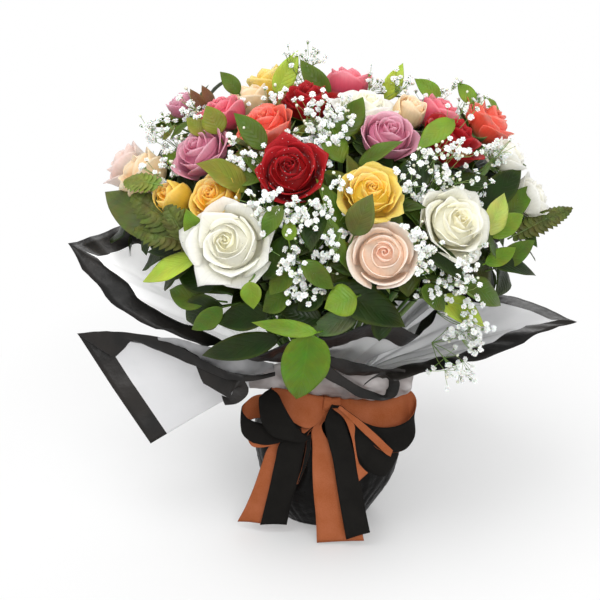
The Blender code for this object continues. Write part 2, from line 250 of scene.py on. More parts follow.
def clouded(tree, shader, source, low, high, limits=None):
    """Colours a surface from low to high by a noise or a wave, or by the part of it between two limits."""
    share = ranged(tree, source.outputs["Fac"], *limits, 0, 1) if limits else source.outputs["Fac"]
    link(tree, mix_colour(tree, share, low, high), shader.inputs["Base Color"])


def grained(tree, shader, share, grain):
    """Colours a surface by its tint, with a soft grain over it."""
    colour = mix_colour(tree, share, tint_of(tree), grain.outputs["Color"], "SOFT_LIGHT")
    link(tree, colour, shader.inputs["Base Color"])


def roughened(tree, shader, source, low, high):
    """Lets the roughness of a surface wander between low and high by a noise."""
    link(tree, ranged(tree, source.outputs["Fac"], 0.3, 0.7, low, high), shader.inputs["Roughness"])


# Roses

PETAL_STEPS = 10       # columns and rows of each petal's grid
CROWDED = 0.72         # the share of a bloom's petals after which they stand closer together


def petal_material():
    """Petals take their colour from the tint of each point, with fine veins along the petal and a velvety surface."""
    material, tree, shader = principled(
        "rose_petal", 0.5, Subsurface_Weight=0.6, Subsurface_Scale=0.006, Subsurface_Radius=(0.9, 0.9, 0.9),
        Sheen_Weight=0.03, Sheen_Roughness=0.5, Specular_IOR_Level=0.16,
    )
    veins = noise_node(tree, coordinates(tree, "UV", (34, 2.2, 1)), 1.0, 4.0, 0.6)
    cloud = noise_node(tree, coordinates(tree), 90.0, 2.0)
    light = ranged(tree, veins.outputs["Fac"], 0.3, 0.7, 0.95, 1.04)
    light = maths(tree, "MULTIPLY", light, ranged(tree, cloud.outputs["Fac"], 0.3, 0.7, 0.95, 1.04))
    scaled = node(tree, "ShaderNodeVectorMath", operation="SCALE")
    link(tree, tint_of(tree), scaled.inputs[0])
    link(tree, light, scaled.inputs["Scale"])
    link(tree, scaled.outputs[0], shader.inputs["Base Color"])
    roughened(tree, shader, cloud, 0.42, 0.6)
    bump(tree, shader, veins.outputs["Fac"], 0.22, 0.0005)
    return material


def petal(shape, size, turn, look):
    """One petal, as a curved patch of a cup round the bloom's axis whose rim rolls outwards.

    mid, rim, low and high in its look are the cup's radii and heights, as shares of size.
    spread is half the angle that the petal covers, and fall is how much lower its sides end.
    roll and curl are the radius and the angle of its rim, and lean rolls one side more than the other.
    flip turns its sides out, point sharpens its tip, and tuck lets one side slip under the next petal.
    ruffle, waves and phase wave its edge, and tints are the colours at its foot, middle and rim.
    """
    tint = shape.verts.layers.float_color["tint"]
    points, _ = grid(shape, PETAL_STEPS, PETAL_STEPS)
    low, high = look["low"], look["high"]
    foot, rim = Vector((0.05, low)), Vector((look["rim"], high))
    belly = Vector((look["mid"] * 1.25, blend(low, high, 0.12)))
    chest = Vector((look["mid"] * 1.04, blend(low, high, 0.62)))
    for across, along, vertex in points:
        side = across * 2 - 1
        top = 1 - look["fall"] * abs(side) ** 2.8 + look["point"] * (1 - abs(side)) ** 2.5
        up = along * top
        rest = 1 - up
        place = foot * rest ** 3 + belly * (3 * rest * rest * up) + chest * (3 * rest * up * up) + rim * up ** 3
        radius, height = place.x, place.y
        edge = max(0.0, (up - 0.66) / 0.34)
        roll = look["curl"] * edge * (0.8 + 0.5 * abs(side) ** 2) * (1 + look["lean"] * side)
        radius += look["roll"] * (1 - math.cos(roll))
        height += look["roll"] * (math.sin(roll) - roll)
        flip = max(0.0, (abs(side) - 0.5) / 0.5) ** 2 * ease(0.2, 0.9, up)
        radius += look["flip"] * flip
        height -= look["flip"] * flip * 0.5
        wave = math.sin(side * look["waves"] + look["phase"]) * look["ruffle"] * edge
        radius += wave + look["tuck"] * side * (0.4 + 0.6 * up)
        height += wave * 0.6
        opening = look["spread"] * (0.35 + 0.65 * ease(0.0, 0.5, up)) * (1 - 0.10 * edge * edge)
        angle = turn + side * opening
        vertex.co = Vector((radius * math.cos(angle), radius * math.sin(angle), height)) * size
        below, body, lip = look["tints"]
        colour = mixed(below, body, ease(0.05, 0.55, up))
        colour = mixed(colour, lip, ease(0.60, 1.0, up) * 0.8)
        vertex[tint] = (*colour, 1)


def bloom_profile(openness, sink, share):
    """How far out a bloom's petals stand and how high they reach, a share of the way out from its heart."""
    radius = blend(0.05, 0.74 + 0.12 * openness, share ** 1.18)
    height = 0.54 - sink * (1 - ease(0.1, 0.5, share)) - (0.10 + 0.62 * openness) * share ** 1.9
    return radius, height


def bloom(size, petals, openness, colours, rng, ruffle, point, sink, cup):
    """A rose bloom about its own axis: a tight spiral heart, then wider and wider petals that roll back.

    openness is how far the petals roll back, sink lowers the heart and cup holds the rims in.
    """
    shape = new_shape()
    heart_tint, body_tint, rim_tint, foot_tint = colours
    for count in range(petals):
        share = count / (petals - 1)
        turn = count * GOLDEN_TURN + rng.uniform(-0.16, 0.16)
        # The last petals stand closer together, so that the outer ones overlap; the last of all has a share of 1
        share = (share if share < CROWDED else CROWDED + (share - CROWDED) * 0.45) / 0.846
        radius, height = bloom_profile(openness, sink, share)
        middle_radius = radius * rng.uniform(0.97, 1.04)
        high = height + rng.uniform(-0.03, 0.03) * share
        flare = blend(0.70, 1.12 + 0.24 * openness - cup, share ** 0.8) * rng.uniform(0.97, 1.04)
        shade = rng.uniform(0.95, 1.05)
        body = mixed(heart_tint, body_tint, ease(0.05, 0.6, share))
        body = tuple(min(channel * shade, 1.0) for channel in body)
        look = {
            "mid": middle_radius,
            "rim": middle_radius * flare,
            "low": blend(-0.15, -0.80, share ** 0.5),
            "high": high,
            "fall": blend(0.10, 0.28, share),
            "spread": blend(1.9, 0.84 * (21 / petals) ** 0.7, share ** 0.6) * rng.uniform(0.92, 1.08),
            "curl": blend(0.2, min(1.1 + 1.5 * openness, 2.2), share ** 0.9) * rng.uniform(0.7, 1.2),
            "lean": rng.uniform(-0.25, 0.25) * share,
            "roll": blend(0.03, 0.12, share) * rng.uniform(0.85, 1.2),
            "flip": blend(0.0, 0.14, share ** 1.5) * rng.uniform(0.4, 1.4) * (0.15 + 0.85 * max(openness, 0)),
            "point": point * share ** 0.5 * rng.uniform(0.5, 1.6),
            "tuck": blend(0.045, 0.06, share),
            "ruffle": ruffle * (0.3 + share) * rng.uniform(0.6, 1.4),
            "waves": rng.uniform(4, 9),
            "phase": rng.uniform(0, 6.28),
            "tints": (foot_tint, body, mixed(body, rim_tint, 0.3 + 0.7 * share)),
        }
        petal(shape, size, turn, look)
    # A low dome between the petals, so that no gap runs deep
    points, _ = grid(shape, 28, 9)
    tint = shape.verts.layers.float_color["tint"]
    joined = []
    for across, along, vertex in points:
        share = along * 0.86
        radius, height = bloom_profile(openness, sink, share)
        radius *= 0.96 if along > 0.01 else 0
        high = height - 0.19 - 0.12 * share
        turn = across * math.tau
        vertex.co = Vector((radius * math.cos(turn), radius * math.sin(turn), high)) * size
        vertex[tint] = (*mixed(heart_tint, body_tint, ease(0.05, 0.6, share)), 1)
        if across < 0.01 or across > 0.99 or along < 0.01:
            joined.append(vertex)
    bmesh.ops.remove_doubles(shape, verts=joined, dist=MERGE)
    return shape


def bloom_place(node_name, nod=0, swing=0):
    """A bloom's middle and its axis: away from the focus, then nodding to the front and swung to the right."""
    centre = middle(node_name)
    axis = (centre - FOCUS).normalized()
    axis.rotate(Matrix.Rotation(math.radians(swing), 3, "Z"))
    axis.rotate(Matrix.Rotation(math.radians(nod), 3, "X"))
    return centre, axis


def drop_places(shape, axis, count, rng):
    """Points on the outer side of a bloom's petals, with the way the surface faces there."""
    faces = [face for face in shape.faces if face.normal.length and abs(face.normal.dot(axis)) > 0.25]
    places = []
    for face in rng.sample(faces, count):
        out = face.normal * (1 if face.normal.dot(axis) > 0 else -1)
        places.append((face.calc_center_median() + out * 0.22, out))
    return places


def stand_on(axis, centre, spin=0.0):
    turn = axis.to_track_quat("Z", "Y").to_matrix().to_4x4()
    return Matrix.Translation(centre) @ turn @ Matrix.Rotation(spin, 4, "Z")


# Colours of the roses, as (heart, body, rim, foot)
WHITE = ((0.97, 0.91, 0.56), (0.97, 0.95, 0.80), (0.98, 0.97, 0.90), (0.93, 0.88, 0.55))
CREAM = ((0.94, 0.85, 0.46), (0.95, 0.92, 0.70), (0.97, 0.96, 0.85), (0.86, 0.80, 0.42))
BLUSH = ((0.97, 0.52, 0.35), (0.97, 0.70, 0.52), (0.97, 0.84, 0.72), (0.93, 0.66, 0.46))
YELLOW = ((0.90, 0.42, 0.02), (0.93, 0.58, 0.05), (0.95, 0.68, 0.12), (0.84, 0.56, 0.06))
AMBER = ((0.90, 0.32, 0.01), (0.93, 0.47, 0.03), (0.95, 0.62, 0.10), (0.86, 0.50, 0.05))
RED = ((0.21, 0.002, 0.003), (0.28, 0.003, 0.004), (0.33, 0.004, 0.006), (0.15, 0.002, 0.003))
MAUVE = ((0.52, 0.08, 0.16), (0.58, 0.15, 0.24), (0.72, 0.30, 0.39), (0.60, 0.26, 0.24))
PEACH = ((0.95, 0.50, 0.19), (0.96, 0.63, 0.31), (0.97, 0.75, 0.46), (0.92, 0.68, 0.30))
SHELL = ((0.90, 0.62, 0.50), (0.93, 0.76, 0.64), (0.90, 0.55, 0.50), (0.90, 0.78, 0.60))
PINK = ((0.68, 0.02, 0.06), (0.80, 0.06, 0.11), (0.88, 0.15, 0.20), (0.78, 0.20, 0.17))
CORAL = ((0.76, 0.025, 0.015), (0.88, 0.065, 0.035), (0.95, 0.13, 0.07), (0.86, 0.18, 0.06))

# Each rose: its solid, size over its packed radius, colours, petals, openness, ruffle, point, sink, cup, spin, seed
ROSES = [
    ("rose_white_front_left", 1.04, WHITE, 24, 0.86, 0.018, 0.16, 0.04, 0.00, 0.3, 1),
    ("rose_blush_front", 1.12, BLUSH, 17, 0.56, 0.006, 0.03, 0.0, 0.02, 1.1, 2),
    ("rose_cream_right", 1.09, CREAM, 24, 0.70, 0.030, 0.06, 0.06, 0.04, 2.0, 3),
    ("rose_yellow_centre", 1.12, YELLOW, 24, 0.62, 0.034, 0.05, 0.08, 0.04, 0.7, 4),
    ("rose_red_centre", 1.06, RED, 21, 0.52, 0.012, 0.12, 0.06, 0.06, 2.6, 5),
    ("rose_mauve_left", 1.12, MAUVE, 20, 0.60, 0.012, 0.05, 0.04, 0.04, -1.2, 6),
    ("rose_mauve_right", 1.14, MAUVE, 21, 0.42, 0.010, 0.08, 0.06, 0.10, 1.7, 7),
    ("rose_yellow_left", 1.30, AMBER, 20, 0.50, 0.020, 0.04, 0.08, 0.08, 2.9, 8),
    ("rose_yellow_bud", 1.38, AMBER, 11, -0.10, 0.006, 0.06, 0.04, 0.38, 0.9, 9),
    ("rose_peach_left", 1.22, PEACH, 14, 0.28, 0.008, 0.04, 0.12, 0.10, 0.4, 10),
    ("rose_blush_far_left", 1.24, SHELL, 13, 0.26, 0.008, 0.04, 0.12, 0.06, 1.2, 11),
    ("rose_pink_left", 1.15, PINK, 16, 0.32, 0.016, 0.10, 0.04, 0.12, 2.2, 12),
    ("rose_coral_left", 1.13, CORAL, 19, 0.50, 0.014, 0.08, 0.06, 0.08, 1.4, 13),
    ("rose_peach_top", 1.20, PEACH, 14, 0.28, 0.012, 0.06, 0.12, 0.10, 0.1, 14),
    ("rose_yellow_top", 1.22, YELLOW, 13, 0.22, 0.010, 0.12, 0.14, 0.10, 2.4, 15),
    ("rose_red_top", 1.15, RED, 20, 0.60, 0.016, 0.10, 0.06, 0.06, 1.9, 16),
    ("rose_pink_top", 1.18, PINK, 13, 0.24, 0.012, 0.12, 0.14, 0.10, 0.6, 17),
    ("rose_white_top", 1.16, WHITE, 22, 0.62, 0.026, 0.06, 0.06, 0.04, 1.0, 18),
    ("rose_peach_bud", 1.36, PEACH, 11, -0.08, 0.006, 0.06, 0.04, 0.34, 2.7, 19),
    ("rose_pink_right", 1.24, PINK, 12, 0.14, 0.010, 0.10, 0.10, 0.16, 0.8, 20),
    ("rose_red_right", 1.15, RED, 20, 0.62, 0.016, 0.10, 0.06, 0.06, 1.6, 21),
    ("rose_coral_right", 1.15, CORAL, 20, 0.62, 0.040, 0.12, 0.04, 0.04, 2.1, 22),
    ("rose_white_right", 1.20, WHITE, 13, 0.24, 0.012, 0.08, 0.12, 0.10, 0.5, 23),
    ("rose_white_far_right", 1.24, WHITE, 14, 0.28, 0.014, 0.08, 0.12, 0.08, 1.3, 24),
    ("rose_mauve_bud", 1.20, MAUVE, 11, -0.04, 0.006, 0.08, 0.0, 0.20, 2.5, 25),
    ("rose_cream_back_right", 1.15, CREAM, 22, 0.70, 0.020, 0.08, 0.06, 0.04, 0.0, 26),
    ("rose_red_back_right", 1.15, RED, 21, 0.70, 0.014, 0.12, 0.06, 0.05, 1.5, 27),
    ("rose_white_back", 1.15, WHITE, 23, 0.80, 0.018, 0.14, 0.04, 0.03, 2.3, 28),
    ("rose_pink_back_left", 1.15, PINK, 20, 0.60, 0.014, 0.10, 0.06, 0.06, 0.9, 29),
    ("rose_yellow_back_left", 1.15, YELLOW, 22, 0.62, 0.024, 0.06, 0.06, 0.05, 2.8, 30),
    ("rose_mauve_back_right", 1.15, MAUVE, 20, 0.60, 0.012, 0.10, 0.06, 0.07, 1.8, 31),
    ("rose_coral_back", 1.15, CORAL, 20, 0.60, 0.016, 0.10, 0.06, 0.07, 0.4, 32),
    ("rose_peach_back_left", 1.15, PEACH, 20, 0.55, 0.012, 0.10, 0.06, 0.07, 2.0, 33),
]


# How far some blooms nod to the front and swing to the right, in degrees, and how many dew drops lie on some
TURNED = {
    "rose_red_centre": (15, 5),
    "rose_white_front_left": (9, 12),
    "rose_blush_front": (0, -11),
    "rose_cream_right": (0, -11),
    "rose_mauve_left": (6, 0),
    "rose_mauve_right": (8, -3),
}
DEWY = {
    "rose_red_centre": 380,
    "rose_mauve_right": 60,
    "rose_coral_left": 40,
    "rose_pink_left": 40,
    "rose_white_front_left": 40,
}


def packed_radius(node_name):
    """A bloom solid's radius, from the reach of its points off the axis."""
    centre, axis = bloom_place(node_name)
    reach = 0.0
    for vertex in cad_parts[node_name].data.vertices:
        away = Vector(vertex.co) / MM - centre
        reach = max(reach, (away - axis * away.dot(axis)).length)
    return reach / 0.96


def make_roses():
    finish = petal_material()
    sizes = {}
    drops = []
    for node_name, scale, colours, petals, openness, ruffle, point, sink, cup, spin, seed in ROSES:
        rng = random.Random(seed)
        centre, axis = bloom_place(node_name, *TURNED.get(node_name, (0, 0)))
        size = packed_radius(node_name) * scale
        sizes[node_name] = (centre, axis, size)
        shape = bloom(size, petals, openness, colours, rng, ruffle, point, sink, cup)
        bmesh.ops.transform(shape, matrix=stand_on(axis, centre, spin), verts=shape.verts)
        bmesh.ops.recalc_face_normals(shape, faces=shape.faces)
        drops += drop_places(shape, axis, DEWY.get(node_name, 0), rng)
        finish_piece(node_name + "_petals", shape, [finish], [node_name], wall=0.35)
    make_dew(drops)
    return sizes


def make_dew(drops):
    """Clear drops of water on the petals of a few blooms."""
    material, _, shader = principled("dew", 0.05, Transmission_Weight=0.5, IOR=1.33, Specular_IOR_Level=0.9)
    shader.inputs["Base Color"].default_value = (0.95, 0.95, 0.96, 1)
    shape = new_shape()
    bmesh.ops.create_icosphere(shape, subdivisions=1, radius=1)
    drop = bpy.data.meshes.new("drop")
    shape.to_mesh(drop)
    shape.free()
    shape = new_shape()
    rng = random.Random(7)
    for spot, out in drops:
        flattened = stand_on(out, spot) @ Matrix.Diagonal((1, 1, 0.6, 1))
        add_copy(shape, drop, flattened @ Matrix.Scale(rng.uniform(0.25, 0.62), 4))
    bpy.data.meshes.remove(drop)
    finish_piece("dew_drops", shape, [material])


# Stems, hips and sepals

STEM = (0.10, 0.20, 0.045)
STEM_PALE = (0.22, 0.34, 0.10)
OUTER_STEMS = 28       # stems that can be seen round the tied neck


def curve_through(points, steps):
    """Points of a smooth line through the given ones, with steps to each stretch."""
    line = [points[0] * 2 - points[1], *points, points[-1] * 2 - points[-2]]
    found = []
    for a, b, c, d in zip(line, line[1:], line[2:], line[3:]):
        for step in range(steps):
            t = step / steps
            square, cube = a * 2 - b * 5 + c * 4 - d, b * 3 - a - c * 3 + d
            found.append((b * 2 + (c - a) * t + square * t ** 2 + cube * t ** 3) / 2)
    return [*found, points[-1]]


def sweep(shape, points, radii, sides, colours, close=True):
    """A round tube along a line: radii run along it and so do the colours, and close gives it ends."""
    tint = shape.verts.layers.float_color["tint"]
    rows = len(points) - 1
    made, _ = grid(shape, sides, rows)
    frames = []
    side = None
    for place, point in enumerate(points):
        heading = (points[min(place + 1, rows)] - points[max(place - 1, 0)]).normalized()
        side = heading.orthogonal() if side is None else side - heading * side.dot(heading)
        side.normalize()
        frames.append((point, side, heading.cross(side)))
    ends = []
    for across, along, vertex in made:
        row = round(along * rows)
        point, out, over = frames[row]
        turn = across * math.tau
        radius = radii[0] + (radii[-1] - radii[0]) * along if len(radii) == 2 else radii[row]
        vertex.co = point + (out * math.cos(turn) + over * math.sin(turn)) * radius
        vertex[tint] = (*mixed(colours[0], colours[1], along), 1)
        if row in (0, rows):
            ends.append(vertex)
    close_seam(shape, made)
    if close:
        kept = {v for v in ends if v.is_valid}
        rims = [e for v in kept for e in v.link_edges if e.is_boundary]
        bmesh.ops.holes_fill(shape, edges=list(set(rims)), sides=0)


def blade(shape, root, tip, width, face, arch, fold, curl, ripple, colour, seed, columns, rows, widest, rim=None):
    """A leaf from its root to its tip.

    face is the way its upper side looks, arch is its bow, fold is the valley at its midrib, curl drops its tip and
    ripple waves its edges. widest is the share of its length at which it is broadest.
    """
    tint = shape.verts.layers.float_color["tint"]
    span = tip - root
    length = span.length
    rng = random.Random(seed)
    sway = rng.uniform(-0.08, 0.08)
    phase = rng.uniform(0, 6.28)
    forward = span.normalized()
    look = (face - forward * face.dot(forward)).normalized()
    aside = forward.cross(look)
    steer = root + span * 0.5 + look * (arch * length) + aside * (sway * length)
    swell = 1.12 * widest / (1 - widest)
    fullest = widest ** swell * (1 - widest) ** 1.12
    made, _ = grid(shape, columns, rows)
    for across, along, vertex in made:
        side = across * 2 - 1
        centre = root * (1 - along) ** 2 + steer * (2 * along * (1 - along)) + tip * along ** 2
        heading = ((steer - root) * (1 - along) + (tip - steer) * along).normalized()
        over = (look - heading * look.dot(heading)).normalized()
        out = heading.cross(over)
        half = width / 2 * (along ** swell * (1 - along) ** 1.12 / fullest + 0.02 * (1 - along))
        lift = abs(side) * half * fold - curl * length * along ** 3 * 0.5
        wave = math.sin(along * 13 + phase + side) * ripple * half * side * side
        bow = -abs(side) ** 2 * half * fold * 0.35
        vertex.co = centre + out * (side * half) + over * (lift + wave + bow)
        shade = 0.92 + 0.16 * abs(side) + 0.06 * math.sin(along * 7 + phase)
        shown = mixed(colour, rim, ease(0.75, 1.0, max(abs(side), along)) * 0.7) if rim else colour
        vertex[tint] = (*(channel * shade for channel in shown), 1)


def stem_material():
    material, tree, shader = principled("green_stem", 0.45, Subsurface_Weight=0.05, Subsurface_Scale=0.003)
    grain = noise_node(tree, coordinates(tree, "Object", (1, 1, 0.2)), 420.0, 3.0)
    grained(tree, shader, 0.35, grain)
    bump(tree, shader, grain.outputs["Fac"], 0.25, 0.0006)
    return material


def stem_slot(centre):
    """Where a rose's stem crosses the tied neck."""
    lean = centre - FOCUS
    angle = math.degrees(lean.angle(UP))
    return Vector((lean.x, lean.y, 0)).normalized() * (26 * min(angle / 66, 1.0))


def make_stems(finish):
    """Every rose stem from its cut end in the vase, through the tie, to the hip under its bloom."""
    shape = new_shape()
    twist = Matrix.Rotation(math.radians(32), 3, "Z")
    for number, (centre, axis, size) in enumerate(ROSE_SIZES.values()):
        rng = random.Random(number)
        where = stem_slot(centre)
        calyx = centre - axis * size * 0.86
        line = [
            twist @ where + Vector((0, 0, 7)),
            where + Vector((0, 0, 100)),
            where + Vector((0, 0, 136)),
            calyx - axis * 18,
            calyx,
        ]
        sweep(shape, curve_through(line, 5), (2.5, 2.2), 7, (STEM_PALE, mixed(STEM, STEM_PALE, rng.random())))
    # The outermost stems of the tied neck, pressed side by side
    for count in range(OUTER_STEMS):
        rng = random.Random(count + 70)
        turn = count * 360 / OUTER_STEMS + rng.uniform(-2, 2)
        reach = rng.uniform(27.6, 28.4)
        line = [around(reach, turn + 8, 106), around(reach, turn, 122), around(reach, turn - 6, 137.5)]
        sweep(shape, curve_through(line, 3), (2.6, 2.6), 7, (STEM, mixed(STEM, STEM_PALE, rng.random())))
    finish_piece("rose_stems", shape, [finish], ["stem_bundle"])


def make_sepals(finish):
    """The green hip under each bloom, and its five narrow sepals bent back along the petals."""
    shape = new_shape()
    for number, (centre, axis, size) in enumerate(ROSE_SIZES.values()):
        rng = random.Random(number + 40)
        foot = centre - axis * size * 0.88
        hip = [foot - axis * 2.2, foot, foot + axis * size * 0.10, foot + axis * size * 0.20]
        sweep(shape, hip, (2.2, size * 0.13, size * 0.19, size * 0.14), 9, (STEM_PALE, STEM))
        stand = stand_on(axis, centre, rng.uniform(0, 6.28)).to_3x3()
        for count in range(5):
            turn = count * math.tau / 5 + rng.uniform(-0.2, 0.2)
            out = stand @ Vector((math.cos(turn), math.sin(turn), 0))
            root = foot + out * size * 0.14 + axis * size * 0.12
            tip = centre + out * size * rng.uniform(0.95, 1.12) - axis * size * rng.uniform(0.42, 0.70)
            face = out - axis * 1.2
            green = mixed(STEM, STEM_PALE, rng.random())
            blade(shape, root, tip, size * 0.24, -face, -0.20, 0.2, -0.14, 0.1, green, number * 7 + count, 2, 6, 0.3)
    finish_piece("rose_sepals", shape, [finish], (), wall=0.4)


# The film under and around the vase, the vase and the tie

def ring_noise(azimuth, height, scale, seed):
    """Noise that joins up all the way round: azimuth in degrees, height in millimetres."""
    place = around(60, azimuth, height)
    return noise.noise(place / scale + Vector((seed * 3.7, seed, seed * 1.9)))


def pleats(azimuth, height):
    """How far the gathered film stands out: folds that start at the tie and die away towards the floor."""
    turn = math.radians(azimuth)
    drift = 1.3 * ring_noise(azimuth, height, 38, 1) + (height - 60) * 0.0045
    fold = abs(math.sin(9.5 * (turn + 0.35 * drift))) ** 0.8 + 0.55 * abs(math.sin(17 * turn + 4.1 + 1.7 * drift))
    soft = blend(0.55, 1.0, ease(30, 96, height)) * blend(0.4, 1.0, ease(0, 22, height))
    return (fold - 0.75) * 1.7 * soft + 0.9 * ring_noise(azimuth, height * 2.2, 9, 2) * soft


def film_black_material():
    material, tree, shader = principled("black_wrap_film", 0.24, Specular_IOR_Level=0.10)
    place = coordinates(tree)
    crease = noise_node(tree, place, 120.0, 4.0, 0.6)
    fine = noise_node(tree, place, 900.0, 2.0)
    clouded(tree, shader, crease, (0.0035, 0.0032, 0.003), (0.0065, 0.006, 0.0055))
    roughened(tree, shader, crease, 0.26, 0.46)
    height = maths(tree, "ADD", crease.outputs["Fac"], maths(tree, "MULTIPLY", fine.outputs["Fac"], 0.12))
    bump(tree, shader, height, 0.5, 0.0022)
    return material


def make_wrap():
    """The black film: a disc under the vase, up round it in pleats, pinched into the neck under the ribbon."""
    shape = new_shape()
    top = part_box("base_wrap")[1].z / MM
    outline = [(40, 0), (49, 14), (56, 30), (61, 52), (64, 76), (61, 94), (50, 104), (38.4, 109), (38.2, 120),
               (38.2, top)]
    line = curve_through([Vector((r, 0, z)) for r, z in outline], 9)
    rows = len(line) - 1
    made, _ = grid(shape, 216, rows)
    for across, along, vertex in made:
        spot = line[round(along * rows)]
        azimuth = across * 360
        out = pleats(azimuth, spot.z) * (1 - ease(102, 110, spot.z) * 0.85)
        height = max(spot.z, 0.0)
        slack = 7.5 * math.exp(-((azimuth - 78) / 38) ** 2) * ease(8, 50, height) * (1 - ease(80, 104, height))
        vertex.co = around(min(spot.x, 64) - 0.45 + out + slack, azimuth, height)
    # The slack breaks off at azimuth 0, so part of the seam stays open there, by about a tenth of a millimetre
    close_seam(shape, made)
    rims = [e for e in shape.edges if e.is_boundary and e.verts[0].co.z < 0.01]
    bmesh.ops.holes_fill(shape, edges=rims, sides=0)
    bmesh.ops.recalc_face_normals(shape, faces=shape.faces)
    black = film_black_material()
    piece = finish_piece("base_wrap_film", shape, [black], ["base_wrap"], wall=0.5, offset=-1)


def refinish(node_name, material):
    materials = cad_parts[node_name].data.materials
    materials.clear()
    materials.append(material)


def give_plain_finishes():
    """The vase and the tie keep their solids and take finishes of their own."""
    material, tree, shader = principled("milky_vase", 0.25, IOR=1.45)
    shade = noise_node(tree, coordinates(tree), 30.0)
    clouded(tree, shader, shade, (0.72, 0.76, 0.76), (0.82, 0.84, 0.84))
    refinish("vase", material)
    material, tree, shader = principled("jute_twine", 0.85)
    strands = node(tree, "ShaderNodeTexWave", bands_direction="DIAGONAL")
    strands.inputs["Scale"].default_value = 380
    strands.inputs["Distortion"].default_value = 1.5
    link(tree, coordinates(tree), strands.inputs["Vector"])
    clouded(tree, shader, strands, (0.30, 0.20, 0.10), (0.55, 0.42, 0.25))
    bump(tree, shader, strands.outputs["Fac"], 0.6, 0.0004)
    refinish("binding_twine", material)


# Ribbon: black outside and orange inside, a soft unwoven cloth

ORANGE_CLOTH = (0.40, 0.105, 0.030)


def ribbon_material(name, low, high):
    material, tree, shader = principled(name, 0.85, Specular_IOR_Level=0.12)
    place = coordinates(tree)
    fibre = noise_node(tree, place, 1500.0, 3.0, 0.7)
    patch = noise_node(tree, place, 60.0, 2.0)
    share = maths(tree, "MULTIPLY_ADD", fibre.outputs["Fac"], 0.6, maths(tree, "MULTIPLY", patch.outputs["Fac"], 0.4))
    link(tree, mix_colour(tree, ranged(tree, share, 0.35, 0.65, 0, 1), low, high), shader.inputs["Base Color"])
    bump(tree, shader, fibre.outputs["Fac"], 0.35, 0.0005)
    return material


def ribbon_run(shape, pairs, cup, seed, steps=7, columns=8, crumple=0.25):
    """A ribbon through pairs of edge points, each pair its width at one place; cup bows it across its width."""
    first = curve_through([Vector(a) for a, b in pairs], steps)
    second = curve_through([Vector(b) for a, b in pairs], steps)
    rows = len(first) - 1
    made, _ = grid(shape, columns, rows)
    for across, along, vertex in made:
        row = round(along * rows)
        a, b = first[row], second[row]
        after, before = min(row + 1, rows), max(row - 1, 0)
        heading = first[after] + second[after] - first[before] - second[before]
        normal = (b - a).cross(heading)
        normal = normal.normalized() if normal.length > 1e-6 else UP
        spot = a.lerp(b, across)
        bow = cup * math.sin(math.pi * across)
        vertex.co = spot + normal * (bow + crumple * wobble(spot, 9, seed) + 0.12 * wobble(spot, 3, seed + 5))


def ribbon_piece(name, runs, node_name, outside, inside):
    """One ribbon piece from its runs, each (pairs, cup); its first cloth is on the side its grid faces."""
    shape = new_shape()
    for number, (pairs, cup) in enumerate(runs):
        ribbon_run(shape, beside_knot(pairs), cup, number + len(name))
    piece = finish_piece(name, shape, [outside, inside], [node_name], wall=0.7)
    both = piece.modifiers["thickness"]
    both.material_offset = 1
    both.material_offset_rim = 0
    return piece


def beside_knot(pairs):
    """Pairs given from the middle of the knot, in millimetres, as points of the bouquet."""
    knot = middle("bow_knot")
    return [(knot + Vector(a), knot + Vector(b)) for a, b in pairs]


# Loops: from the knot out along the far strand and back along the near one, as pairs from the middle of the knot
RIGHT_LOOP = [
    ((3, 3, 5), (4, 2, -4)), ((12, 2, 6), (13, -3, -8)), ((25, 3, 3), (28, -5, -19)), ((43, 10, 1), (46, -1, -24)),
    ((60, 17, 4), (62, 6, -24)), ((70, 25, 4), (70, 14, -22)),
    ((76, 20, -1), (75, 7, -25)), ((75, 7, -8), (73, -6, -31)),
    ((67, -5, -14), (64, -17, -37)), ((54, -11, -17), (49, -22, -37)), ((39, -13, -16), (35, -22, -29)),
    ((23, -12, -9), (21, -19, -14)), ((9, -7, 1), (8, -10, -1)),
]
LEFT_LOOP = [
    ((0, 3, 6), (0, -1, -3)), ((-7, 0, 7), (-6, -8, -9)),
    ((-22, -2, 11), (-21, -20, -15)), ((-40, -2, 15), (-38, -17, -8)),
    ((-52, 0, 16), (-53, -10, -4)), ((-53, -6, 17), (-63, -8, 10)),
    ((-47, -12, 14), (-64, -14, 2)), ((-42, -19, 6), (-61, -22, -10)),
    ((-36, -25, -3), (-52, -30, -18)), ((-29, -28, -13), (-39, -33, -21)),
    ((-23, -27, -19), (-28, -30, -24)), ((-20, -25, -22), (-20, -25, -23)),
]
FAR_LEFT_LOOP = [
    ((0, 5, 4), (0, 3, -4)), ((-22, 8, 3), (-22, 1, -12)), ((-48, 13, 4), (-48, 4, -15)), ((-66, 18, 2), (-66, 7, -16)),
    ((-76, 17, -4), (-76, 6, -20)), ((-80, 8, -8), (-80, -4, -24)), ((-74, -2, -13), (-73, -14, -29)),
    ((-60, -10, -15), (-58, -22, -30)), ((-44, -15, -16), (-42, -24, -25)), ((-33, -12, -13), (-32, -17, -19)),
    ((-20, -7, -8), (-20, -11, -13)), ((-8, 0, -2), (-8, -2, -6)),
]
LOW_RIGHT_LOOP = [
    ((4, -10, 0), (8, -14, -8)), ((14, -15, -3), (18, -23, -22)), ((28, -18, -12), (22, -28, -36)),
    ((44, -17, -24), (30, -28, -50)), ((55, -15, -36), (40, -27, -57)), ((60, -9, -44), (48, -20, -60)),
    ((56, -3, -42), (44, -12, -56)), ((40, -2, -30), (32, -8, -42)), ((22, -4, -16), (18, -8, -24)),
]
